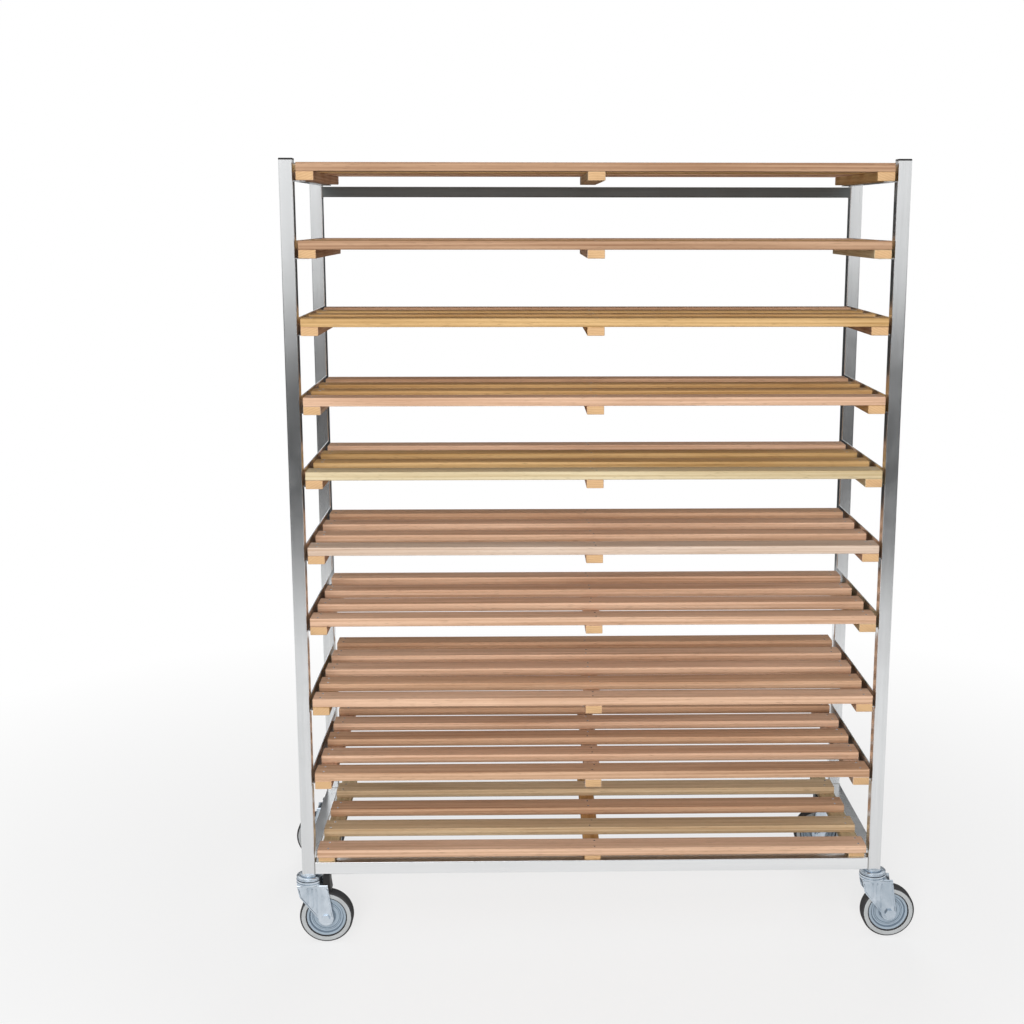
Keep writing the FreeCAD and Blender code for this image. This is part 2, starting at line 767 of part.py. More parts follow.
make_sheet()
make_uprights()
make_rails()
make_caps()
make_runners()
make_shelves()
make_casters()
document.recompute()
check_objects()
export_nodes()
print(len(nodes), "nodes")
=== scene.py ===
"""Bakery bread rack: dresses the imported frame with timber, stainless tube, zinc, rubber and plastic."""

import logging
import math
import random
from dataclasses import dataclass, field
from enum import Enum, IntEnum

import bmesh
import bpy
from mathutils import Matrix, Vector


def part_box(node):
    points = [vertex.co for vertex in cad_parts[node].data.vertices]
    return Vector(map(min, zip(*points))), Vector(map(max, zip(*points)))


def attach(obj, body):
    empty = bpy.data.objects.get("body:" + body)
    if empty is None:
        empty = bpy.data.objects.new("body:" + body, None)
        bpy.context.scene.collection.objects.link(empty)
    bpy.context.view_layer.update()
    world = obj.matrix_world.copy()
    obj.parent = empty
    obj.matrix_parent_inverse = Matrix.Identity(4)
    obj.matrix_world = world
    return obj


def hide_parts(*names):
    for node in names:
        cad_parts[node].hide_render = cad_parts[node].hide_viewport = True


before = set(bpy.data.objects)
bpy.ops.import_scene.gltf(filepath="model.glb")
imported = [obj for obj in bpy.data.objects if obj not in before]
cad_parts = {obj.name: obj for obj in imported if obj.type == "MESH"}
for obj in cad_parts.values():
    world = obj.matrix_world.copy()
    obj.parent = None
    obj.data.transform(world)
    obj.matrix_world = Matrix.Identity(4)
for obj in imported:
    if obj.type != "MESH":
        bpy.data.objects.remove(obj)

log = logging.getLogger("bread_rack")

Material = bpy.types.Material
Socket = bpy.types.NodeSocket
Range = tuple[float, float]
Span = tuple[float, float, float]
Colour = tuple[float, float, float]
Rgba = tuple[float, float, float, float]
Value = Socket | float | Span | Rgba
Ring = list[Vector]
Route = tuple[tuple[float, float], ...]

MM = 0.001
QUARTER_TURN = math.pi / 2
HALF_TURN = math.pi
FULL_TURN = 2 * math.pi
NO_SHIFT: Span = (0.0, 0.0, 0.0)


# --- names of axes and corners ---------------------------------------------------------------


class Axis(Enum):
    """An axis of the rack: along its width, from front to back, or up."""

    X = 0
    Y = 1
    Z = 2

    @property
    def others(self) -> tuple[int, int]:
        """The places of the other two axes in a point."""
        first, second = (axis.value for axis in Axis if axis is not self)
        return (first, second)

    def stretch(self, along: float, across: float) -> Span:
        """A factor for each axis: one along this axis and one across it."""
        x, y, z = (along if axis is self else across for axis in Axis)
        return (x, y, z)

    def point(self, first: float, second: float, along: float) -> Vector:
        """Makes a point from its places on the other two axes and on this one.

        Args:
            first: Its place on the first of the other two axes.
            second: Its place on the second of them.
            along: Its place on this axis.

        Returns:
            The point.
        """
        place = Vector()
        place[self.others[0]] = first
        place[self.others[1]] = second
        place[self.value] = along
        return place


class Corner(Enum):
    """A corner of the rack, where an upright stands on its caster."""

    FRONT_LEFT = "front_left"
    FRONT_RIGHT = "front_right"
    BACK_LEFT = "back_left"
    BACK_RIGHT = "back_right"

    @property
    def braked(self) -> bool:
        """Whether the caster here has a brake pedal."""
        return self in (Corner.FRONT_LEFT, Corner.BACK_RIGHT)

    def node(self, part: str) -> str:
        """The name of one node of this corner's caster."""
        return f"caster_{self.value}_{part}"


# --- patterns and node trees -----------------------------------------------------------------


class Maths(Enum):
    """The arithmetic steps that the finishes use."""

    ADD = "ADD"
    SUBTRACT = "SUBTRACT"
    MULTIPLY = "MULTIPLY"
    GREATER = "MAXIMUM"


class Pattern(Enum):
    """The two kinds of wave: flat bands, or rings round an axis."""

    BANDS = "BANDS"
    RINGS = "RINGS"


@dataclass(frozen=True)
class Noise:
    """The settings of one noise, and how far it is drawn out along and across a run."""

    size: float
    detail: float = 3.0
    rough: float = 0.5
    warp: float = 0.0
    along: float = 1.0
    across: float = 1.0


@dataclass(frozen=True)
class Wave:
    """The settings of one wave, and how far it is drawn out along and across a run."""

    pattern: Pattern
    size: float
    warp: float
    along: float = 1.0
    across: float = 1.0
    detail: float = 3.0
    detail_size: float = 1.5


class NodeTree:
    """The node tree of a material or a world, with short calls for the nodes that the finishes use."""

    # rays that show a surface to the eye, straight, in a mirror or through glass
    seen_rays: tuple[str, ...] = ("Is Camera Ray", "Is Glossy Ray", "Is Transmission Ray")

    def __init__(self, owner: Material | bpy.types.World) -> None:
        """Empties the owner's node tree.

        Args:
            owner: The material or world.
        """
        owner.use_nodes = True
        self.nodes = owner.node_tree.nodes
        self.links = owner.node_tree.links
        self.nodes.clear()
        self.place = self.nodes.new("ShaderNodeTexCoord").outputs["Object"]

    def link(self, value: Value, socket: Socket) -> None:
        """Puts a number, colour or output into a socket.

        Args:
            value: A socket to link from, or a plain value.
            socket: The input that takes it.
        """
        if isinstance(value, Socket):
            self.links.new(value, socket)
        else:
            socket.default_value = value

    def node(self, kind: str, inputs: dict[str | int, Value], **options: str) -> bpy.types.Node:
        """Adds a node.

        Args:
            kind: The node's type.
            inputs: What each input takes, by the input's name or place.
            **options: The node's own options.

        Returns:
            The node.
        """
        node = self.nodes.new(kind)
        for name, choice in options.items():
            setattr(node, name, choice)
        for key, value in inputs.items():
            self.link(value, node.inputs[key])
        return node

    def stretched(self, scale: Span, shift: Span = NO_SHIFT) -> Socket:
        """The object's own coordinates, moved and scaled.

        Args:
            scale: Factor along each axis.
            shift: Shift along each axis, in metres.

        Returns:
            The mapped coordinates.
        """
        inputs = {"Vector": self.place, "Location": shift, "Scale": scale}
        return self.node("ShaderNodeMapping", inputs).outputs["Vector"]

    def noise(self, noise: Noise, run: Axis = Axis.Z, shift: Span = NO_SHIFT) -> Socket:
        """A noise value from 0 to 1.

        Args:
            noise: Its settings.
            run: The axis that it is drawn out along.
            shift: Shift along each axis, in metres.

        Returns:
            The noise's value.
        """
        inputs = {
            "Vector": self.stretched(run.stretch(noise.along, noise.across), shift),
            "Scale": noise.size,
            "Detail": noise.detail,
            "Roughness": noise.rough,
            "Distortion": noise.warp,
        }
        return self.node("ShaderNodeTexNoise", inputs).outputs["Fac"]

    def wave(self, wave: Wave, way: Axis, run: Axis = Axis.Z, shift: Span = NO_SHIFT) -> Socket:
        """A band or ring wave from 0 to 1.

        Args:
            wave: Its settings.
            way: The axis that the bands follow on, or that the rings go round.
            run: The axis that it is drawn out along.
            shift: Shift along each axis, in metres.

        Returns:
            The wave's value.
        """
        inputs = {
            "Vector": self.stretched(run.stretch(wave.along, wave.across), shift),
            "Scale": wave.size,
            "Distortion": wave.warp,
            "Detail": wave.detail,
            "Detail Scale": wave.detail_size,
        }
        options = {"wave_type": wave.pattern.value, f"{wave.pattern.value.lower()}_direction": way.name}
        return self.node("ShaderNodeTexWave", inputs, **options).outputs["Fac"]

    def remap(self, value: Socket, read: Range, write: Range = (0.0, 1.0)) -> Socket:
        """Stretches one range of a value onto another, clamped.

        Args:
            value: The value.
            read: Start and end of the range read.
            write: Results at its start and its end.

        Returns:
            The mapped value.
        """
        inputs = {
            "Value": value,
            "From Min": read[0],
            "From Max": read[1],
            "To Min": write[0],
            "To Max": write[1],
        }
        return self.node("ShaderNodeMapRange", inputs).outputs["Result"]

    def math(self, how: Maths, first: Value, second: Value) -> Socket:
        """One arithmetic step.

        Args:
            how: The step.
            first: First value.
            second: Second value.

        Returns:
            The result.
        """
        return self.node("ShaderNodeMath", {0: first, 1: second}, operation=how.value).outputs["Value"]

    def weighed(self, *parts: tuple[Socket, float]) -> Socket:
        """Adds up values, each with its own weight.

        Args:
            *parts: Pairs of a value and its weight.

        Returns:
            The sum.
        """
        weighted = [self.math(Maths.MULTIPLY, value, weight) for value, weight in parts]
        total = weighted[0]
        for part in weighted[1:]:
            total = self.math(Maths.ADD, total, part)
        return total

    def mix(self, share: Socket, first: Value, second: Value) -> Socket:
        """Mixes two colours.

        Args:
            share: How much of the second one.
            first: First colour.
            second: Second colour.

        Returns:
            The mixed colour.
        """
        inputs = {"Factor": share, "A": first, "B": second}
        return self.node("ShaderNodeMix", inputs, data_type="RGBA").outputs["Result"]

    def seen(self) -> Socket:
        """A value that is 1 where the eye, a mirror or glass looks, and 0 where light only passes.

        Returns:
            The value.
        """
        path = self.nodes.new("ShaderNodeLightPath")
        share = path.outputs[self.seen_rays[0]]
        for name in self.seen_rays[1:]:
            share = self.math(Maths.GREATER, share, path.outputs[name])
        return share

    def mix_shaders(self, share: Socket, first: Socket, second: Socket) -> Socket:
        """Mixes two shaders.

        Args:
            share: How much of the second one.
            first: First shader.
            second: Second shader.

        Returns:
            The mixed shader.
        """
        return self.node("ShaderNodeMixShader", {"Fac": share, 1: first, 2: second}).outputs["Shader"]


class FinishTree(NodeTree):
    """The node tree of a finish: one principled shader, which the methods here feed."""

    def __init__(self, name: str) -> None:
        """Makes the material.

        Args:
            name: The material's name.
        """
        self.material = bpy.data.materials.new(name)
        super().__init__(self.material)
        self.output = self.nodes.new("ShaderNodeOutputMaterial")
        self.shader = self.nodes.new("ShaderNodeBsdfPrincipled")
        self.links.new(self.shader.outputs["BSDF"], self.output.inputs["Surface"])

    def feed(self, name: str, value: Value) -> None:
        """Puts a number, colour or output into one of the shader's own inputs."""
        self.link(value, self.shader.inputs[name])

    def bump(self, height: Socket, depth: float, strength: float) -> None:
        """Gives the shader a bump from a height value.

        Args:
            height: The height, from 0 to 1.
            depth: What a height of 1 stands for, in metres.
            strength: How strongly it shows.
        """
        inputs = {"Height": height, "Distance": depth, "Strength": strength}
        self.feed("Normal", self.node("ShaderNodeBump", inputs).outputs["Normal"])


def linear(colour: Colour) -> Rgba:
    """Turns a colour of the screen, from 0 to 255, into the linear one that nodes hold.

    Args:
        colour: Red, green and blue.

    Returns:
        Linear red, green, blue and an alpha of 1.
    """
    parts = [value / 255.0 for value in colour]
    lin = [v / 12.92 if v <= 0.04045 else ((v + 0.055) / 1.055) ** 2.4 for v in parts]
    return (lin[0], lin[1], lin[2], 1.0)


# --- finishes --------------------------------------------------------------------------------


@dataclass(frozen=True)
class Timber:
    """Raw planed hardwood, with fibres, growth bands, flecks and a tone of its own."""

    name: str
    grain: Axis
    pale: Colour
    dark: Colour
    seed: float
    seed_shift: Span = (3.1, 1.7, 2.3)
    clouds: Noise = Noise(1.6, warp=0.5, along=0.8, across=11.0)
    streaks: Noise = Noise(1.7, rough=0.6, along=0.9, across=95.0)
    fibres: Noise = Noise(2.2, detail=5.0, rough=0.7, along=5.0, across=260.0)
    flecks: Noise = Noise(1.0, detail=2.0, along=38.0, across=620.0)
    bands: Wave = Wave(Pattern.BANDS, 1.4, 6.0, along=0.35, across=26.0)
    cloud_read: Range = (0.34, 0.68)
    cloud_weight: float = 0.4
    band_weight: float = 0.26
    streak_read: Range = (0.36, 0.66)
    streak_weight: float = 0.34
    fibre_read: Range = (0.3, 0.75)
    fibre_change: Range = (-0.1, 0.16)
    fleck_read: Range = (0.6, 0.74)
    fleck_most: float = 0.42
    fleck_darkness: float = 0.66
    rough_read: Range = (0.2, 0.8)
    rough: Range = (0.62, 0.84)
    specular: float = 0.08
    fleck_depth: float = 0.6
    depth: float = 0.4 * MM
    depth_shown: float = 0.5

    def build(self) -> Material:
        """Makes the material.

        Returns:
            The material.
        """
        tree = FinishTree(self.name)
        x, y, z = (self.seed * step for step in self.seed_shift)
        shift = (x, y, z)
        clouds = tree.remap(tree.noise(self.clouds, self.grain, shift), self.cloud_read)
        bands = tree.wave(self.bands, Axis.Z, self.grain, shift)
        streaks = tree.remap(tree.noise(self.streaks, self.grain, shift), self.streak_read)
        fibres = tree.noise(self.fibres, self.grain, shift)
        flecks = tree.noise(self.flecks, self.grain, shift)
        share = tree.weighed(
            (clouds, self.cloud_weight),
            (bands, self.band_weight),
            (streaks, self.streak_weight),
        )
        share = tree.math(Maths.ADD, share, tree.remap(fibres, self.fibre_read, self.fibre_change))
        colour = tree.mix(share, linear(self.pale), linear(self.dark))
        fleck_share = tree.remap(flecks, self.fleck_read, (0.0, self.fleck_most))
        red, green, blue = (self.fleck_darkness * value for value in self.dark)
        colour = tree.mix(fleck_share, colour, linear((red, green, blue)))
        tree.feed("Base Color", colour)
        tree.feed("Roughness", tree.remap(fibres, self.rough_read, self.rough))
        tree.feed("Specular IOR Level", self.specular)
        sunk = tree.math(Maths.MULTIPLY, fleck_share, self.fleck_depth)
        tree.bump(tree.math(Maths.SUBTRACT, fibres, sunk), self.depth, self.depth_shown)
        return tree.material


@dataclass(frozen=True)
class EndGrain:
    """The sawn ends of the boards, with growth rings and saw marks."""

    name: str
    pale: Colour
    dark: Colour
    across: Axis
    shift: Span = (0.03, 0.04, 0.02)
    rings: Wave = Wave(Pattern.RINGS, 62.0, 3.0)
    pores: Noise = Noise(900.0, detail=2.0, rough=0.6)
    saw: Noise = Noise(60.0, detail=2.0, along=14.0)
    ring_weight: float = 0.22
    pore_weight: float = 0.6
    pore_read: Range = (0.3, 0.7)
    rough: Range = (0.7, 0.9)
    depth: float = 0.3 * MM
    depth_shown: float = 0.5

    def build(self) -> Material:
        """Makes the material.

        Returns:
            The material.
        """
        tree = FinishTree(self.name)
        rings = tree.wave(self.rings, self.across, shift=self.shift)
        pores = tree.noise(self.pores, shift=self.shift)
        saw = tree.noise(self.saw)
        share = tree.weighed((rings, self.ring_weight), (pores, self.pore_weight))
        tree.feed("Base Color", tree.mix(share, linear(self.pale), linear(self.dark)))
        tree.feed("Roughness", tree.remap(pores, self.pore_read, self.rough))
        tree.bump(tree.math(Maths.ADD, saw, pores), self.depth, self.depth_shown)
        return tree.material


@dataclass(frozen=True)
class BrushedStainless:
    """Stainless tube with fine brushing along it, soft smears and a few rubbed spots."""

    name: str
    run: Axis
    colour: Colour = (232, 233, 234)
    shade: Colour = (212, 214, 215)
    rough: float = 0.21
    brushing: Noise = Noise(1.0, detail=5.0, rough=0.7, along=9.0, across=810.0)
    streaks: Noise = Noise(1.0, along=0.7, across=63.0)
    smears: Noise = Noise(7.0, detail=4.0, rough=0.6, warp=0.8)
    brushing_weight: float = 0.4
    streak_weight: float = 0.5
    shade_read: Range = (0.25, 0.7)
    brushing_rough: float = 0.1
    smear_read: Range = (0.4, 0.75)
    smear_rough: Range = (-0.05, 0.01)
    depth: float = 0.06 * MM
    depth_shown: float = 0.4

    def build(self) -> Material:
        """Makes the material.

        Returns:
            The material.
        """
        tree = FinishTree(self.name)
        brushing = tree.noise(self.brushing, self.run)
        streaks = tree.noise(self.streaks, self.run)
        smears = tree.noise(self.smears)
        share = tree.weighed((brushing, self.brushing_weight), (streaks, self.streak_weight))
        colour = tree.mix(tree.remap(share, self.shade_read), linear(self.colour), linear(self.shade))
        tree.feed("Base Color", colour)
        tree.feed("Metallic", 1.0)
        smeared = tree.remap(smears, self.smear_read, self.smear_rough)
        rough = tree.math(Maths.ADD, tree.math(Maths.MULTIPLY, brushing, self.brushing_rough), smeared)
        tree.feed("Roughness", tree.math(Maths.ADD, rough, self.rough))
        tree.bump(brushing, self.depth, self.depth_shown)
        return tree.material


@dataclass(frozen=True)
class ZincPlate:
    """Zinc-plated pressed steel: bright, a little blue, faintly cloudy and drawn."""

    name: str
    colour: Colour = (216, 225, 234)
    shade: Colour = (172, 185, 197)
    clouds: Noise = Noise(30.0, warp=0.4, along=0.5)
    spangle: Noise = Noise(900.0, rough=0.6)
    cloud_weight: float = 0.7
    spangle_weight: float = 0.3
    shade_read: Range = (0.35, 0.65)
    metallic: float = 0.95
    rough_read: Range = (0.3, 0.7)
    rough: Range = (0.15, 0.28)
    depth: float = 0.05 * MM
    depth_shown: float = 0.3

    def build(self) -> Material:
        """Makes the material.

        Returns:
            The material.
        """
        tree = FinishTree(self.name)
        clouds = tree.noise(self.clouds)
        spangle = tree.noise(self.spangle)
        share = tree.weighed((clouds, self.cloud_weight), (spangle, self.spangle_weight))
        colour = tree.mix(tree.remap(share, self.shade_read), linear(self.colour), linear(self.shade))
        tree.feed("Base Color", colour)
        tree.feed("Metallic", self.metallic)
        tree.feed("Roughness", tree.remap(share, self.rough_read, self.rough))
        tree.bump(spangle, self.depth, self.depth_shown)
        return tree.material


@dataclass(frozen=True)
class Moulded:
    """Moulded plastic or rubber with a fine grain and a little dust."""

    name: str
    colour: Colour
    dust: Colour
    rough: float
    grain_size: float = 900.0
    dust_most: float = 0.25
    dust_clouds: Noise = Noise(38.0, detail=5.0, rough=0.65, warp=0.5)
    dust_read: Range = (0.42, 0.75)
    rough_read: Range = (0.3, 0.7)
    rough_change: Range = (-0.07, 0.12)
    specular: float = 0.4
    depth: float = 0.12 * MM
    depth_shown: float = 0.5

    def build(self) -> Material:
        """Makes the material.

        Returns:
            The material.
        """
        tree = FinishTree(self.name)
        grain = tree.noise(Noise(self.grain_size, rough=0.6))
        dust = tree.noise(self.dust_clouds)
        share = tree.remap(dust, self.dust_read, (0.0, self.dust_most))
        tree.feed("Base Color", tree.mix(share, linear(self.colour), linear(self.dust)))
        least, most = self.rough_change
        tree.feed("Roughness", tree.remap(dust, self.rough_read, (self.rough + least, self.rough + most)))
        tree.feed("Specular IOR Level", self.specular)
        tree.bump(grain, self.depth, self.depth_shown)
        return tree.material


# --- mesh helpers ----------------------------------------------------------------------------


class MeshMaker:
    """Collects points and faces, in metres in the frame's own axes, and makes one object of them."""

    def __init__(self, name: str, materials: list[Material]) -> None:
        """Starts an empty mesh.

        Args:
            name: The piece's name.
            materials: Its materials, in slot order.
        """
        self.name = name
        self.materials = materials
        self.points: list[Vector] = []
        self.faces: list[tuple[list[int], int]] = []

    def add_face(self, points: list[Vector]) -> None:
        """Adds one flat face with points of its own, in the first material.

        Args:
            points: Its corners, in order.
        """
        base = len(self.points)
        self.points.extend(points)
        self.faces.append(([base + i for i in range(len(points))], 0))

    def add_rings(self, rings: list[Ring], slot: int = 0, end_slot: int = 0) -> None:
        """Adds a skin over closed rings of equal count, with flat ends.

        Args:
            rings: Rings of points, in order.
            slot: Material slot of the skin.
            end_slot: Material slot of the two ends.
        """
        base = len(self.points)
        count = len(rings[0])
        for ring in rings:
            self.points.extend(ring)
        for i in range(len(rings) - 1):
            for j in range(count):
                a = base + i * count + j
                b = base + i * count + (j + 1) % count
                self.faces.append(([a, b, b + count, a + count], slot))
        last = base + (len(rings) - 1) * count
        self.faces.append(([base + j for j in reversed(range(count))], end_slot))
        self.faces.append(([last + j for j in range(count)], end_slot))

    def add_loop(self, rings: list[Ring], slots: list[int]) -> None:
        """Adds a skin that closes on itself, such as a turned ring.

        Args:
            rings: Rings of points, the last of which joins the first.
            slots: Material slot for each place along a ring.
        """
        base = len(self.points)
        count = len(rings[0])
        for ring in rings:
            self.points.extend(ring)
        for i in range(len(rings)):
            here = base + i * count
            after = base + (i + 1) % len(rings) * count
            for j in range(count):
                k = (j + 1) % count
                self.faces.append(([here + j, here + k, after + k, after + j], slots[j]))

    def make(self, sharp_degrees: float = 40.0) -> bpy.types.Object:
        """Makes the object, smooth but for its sharp edges.

        Args:
            sharp_degrees: Edges that turn by more stay sharp.

        Returns:
            The new object.
        """
        mesh = bpy.data.meshes.new(self.name)
        mesh.from_pydata([tuple(p) for p in self.points], [], [f for f, _ in self.faces])
        for polygon, (_, slot) in zip(mesh.polygons, self.faces):
            polygon.material_index = slot
        for material in self.materials:
            mesh.materials.append(material)
        shaper = bmesh.new()
        shaper.from_mesh(mesh)
        bmesh.ops.recalc_face_normals(shaper, faces=shaper.faces)
        shaper.to_mesh(mesh)
        shaper.free()
        mesh.shade_smooth()
        mesh.set_sharp_from_angle(angle=math.radians(sharp_degrees))
        item = bpy.data.objects.new(self.name, mesh)
        bpy.context.scene.collection.objects.link(item)
        return item


def around(steps: int) -> list[tuple[float, float]]:
    """The cosine and sine of evenly spaced angles round a circle.

    Args:
        steps: How many angles.

    Returns:
        A pair for each angle.
    """
    turns = [FULL_TURN * i / steps for i in range(steps)]
    return [(math.cos(turn), math.sin(turn)) for turn in turns]


def rounded_outline(wide: float, high: float, radius: float, steps: int = 3) -> list[tuple[float, float]]:
    """A rectangle with round corners, about its own middle.

    Args:
        wide: Full width.
        high: Full height.
        radius: Corner radius.
        steps: Points on each corner, less one.

    Returns:
        The outline's points.
    """
    outline = []
    for corner, (sx, sy) in enumerate(((1, 1), (-1, 1), (-1, -1), (1, -1))):
        cx, cy = sx * (wide / 2 - radius), sy * (high / 2 - radius)
        for step in range(steps + 1):
            turn = QUARTER_TURN * (corner + step / steps)
            outline.append((cx + radius * math.cos(turn), cy + radius * math.sin(turn)))
    return outline


def dress(node: str, material: Material) -> None:
    """Gives a CAD node its material.

    Args:
        node: The node's name.
        material: Its material.
    """
    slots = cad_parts[node].data.materials
    slots.clear()
    slots.append(material)


def set_on(piece: bpy.types.Object, body: str, node: str | None = None) -> None:
    """Sets a piece on its body.

    Args:
        piece: The piece.
        body: The body that carries it.
        node: The CAD node that it takes the place of, if it does.
    """
    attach(piece, body)
    if node is not None:
        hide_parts(node)


# --- shelves ---------------------------------------------------------------------------------


class Tone(Enum):
    """The tone of one board: its pale wood and its dark grain."""

    ROSE = ((226, 188, 156), (166, 125, 95))
    PINK = ((240, 203, 174), (182, 141, 111))
    BLUSH = ((233, 214, 197), (188, 158, 134))
    STRAW = ((226, 190, 138), (168, 128, 76))
    CREAM = ((231, 216, 181), (185, 161, 120))
    HONEY = ((224, 184, 130), (158, 114, 66))
    BROWN = ((200, 164, 134), (146, 109, 82))
    WHEAT = ((222, 197, 162), (168, 138, 104))


# each shelf's boards, from the front one to the back one
SHELF_TONES: dict[int, tuple[Tone, ...]] = {
    1: (Tone.BROWN, Tone.STRAW, Tone.ROSE, Tone.PINK),
    2: (Tone.BROWN, Tone.HONEY, Tone.PINK, Tone.ROSE),
    3: (Tone.STRAW, Tone.HONEY, Tone.STRAW, Tone.ROSE),
    4: (Tone.PINK, Tone.HONEY, Tone.HONEY, Tone.ROSE),
    5: (Tone.CREAM, Tone.STRAW, Tone.STRAW, Tone.PINK),
    6: (Tone.BLUSH, Tone.PINK, Tone.PINK, Tone.ROSE),
    7: (Tone.PINK, Tone.PINK, Tone.PINK, Tone.PINK),
    8: (Tone.PINK, Tone.ROSE, Tone.PINK, Tone.PINK, Tone.ROSE),
    9: (Tone.ROSE, Tone.PINK, Tone.ROSE, Tone.PINK, Tone.ROSE),
    10: (Tone.PINK, Tone.WHEAT, Tone.ROSE, Tone.WHEAT),
}


@dataclass(frozen=True)
class ShelfFinishes:
    """The materials of the shelves."""

    slats: dict[Tone, Material]
    battens: dict[Tone, Material]
    slat_end: Material
    batten_end: Material
    nail: Material

    @classmethod
    def make(cls, nail: Material) -> "ShelfFinishes":
        """Makes the materials, with a slat and a batten timber for each tone.

        Args:
            nail: The material of the nail heads.

        Returns:
            The materials.
        """
        slats, battens = {}, {}
        for i, tone in enumerate(Tone):
            name = tone.name.lower()
            pale, dark = tone.value
            slats[tone] = Timber(f"slat_{name}", Axis.X, pale, dark, seed=1.0 + i).build()
            battens[tone] = Timber(f"batten_{name}", Axis.Y, pale, dark, seed=11.0 + i).build()
        slat_end = EndGrain("slat_end_grain", (218, 178, 136), (164, 120, 84), Axis.X).build()
        batten_end = EndGrain("batten_end_grain", (232, 194, 148), (176, 134, 92), Axis.Y).build()
        return cls(slats, battens, slat_end, batten_end, nail)


@dataclass
class Board:
    """One board of a shelf, with rounded long edges, eased ends and a slight warp."""

    low: Vector
    high: Vector
    grain: Axis
    corner: float = 2.0 * MM
    ease: float = 0.8 * MM
    stations: int = 18
    most_bow: float = 0.9 * MM
    waver: Range = (0.1 * MM, 0.3 * MM)
    most_phase: float = 6.0
    waver_turn: float = 7.0

    def shares(self, length: float) -> list[float]:
        """The places of the board's rings, as shares of its length.

        Args:
            length: Its length.

        Returns:
            The shares, from 0 to 1.
        """
        between = [i / self.stations for i in range(1, self.stations)]
        return [0.0, self.ease / length, *between, 1.0 - self.ease / length, 1.0]

    def add_to(self, maker: MeshMaker, slot: int, end_slot: int, chance: random.Random) -> None:
        """Adds the board to a mesh.

        Args:
            maker: The mesh that takes it.
            slot: Material slot of its faces.
            end_slot: Material slot of its sawn ends.
            chance: Source of the small differences between boards.
        """
        size = self.high - self.low
        middle = (self.high + self.low) / 2
        length = size[self.grain.value]
        wide = size[self.grain.others[0]]
        bow = chance.uniform(-self.most_bow, self.most_bow)
        waver = chance.uniform(*self.waver)
        phase = chance.uniform(0.0, self.most_phase)
        rings = []
        for share in self.shares(length):
            eased = self.ease if share in (0.0, 1.0) else 0.0
            outline = rounded_outline(wide - 2 * eased, size.z - 2 * eased, self.corner - eased / 2)
            bowed = bow * (1.0 - (2.0 * share - 1.0) ** 2)
            side = bowed + waver * math.sin(phase + self.waver_turn * share)
            run = (share - 0.5) * length
            rings.append([middle + self.grain.point(across + side, up, run) for across, up in outline])
        maker.add_rings(rings, slot, end_slot)


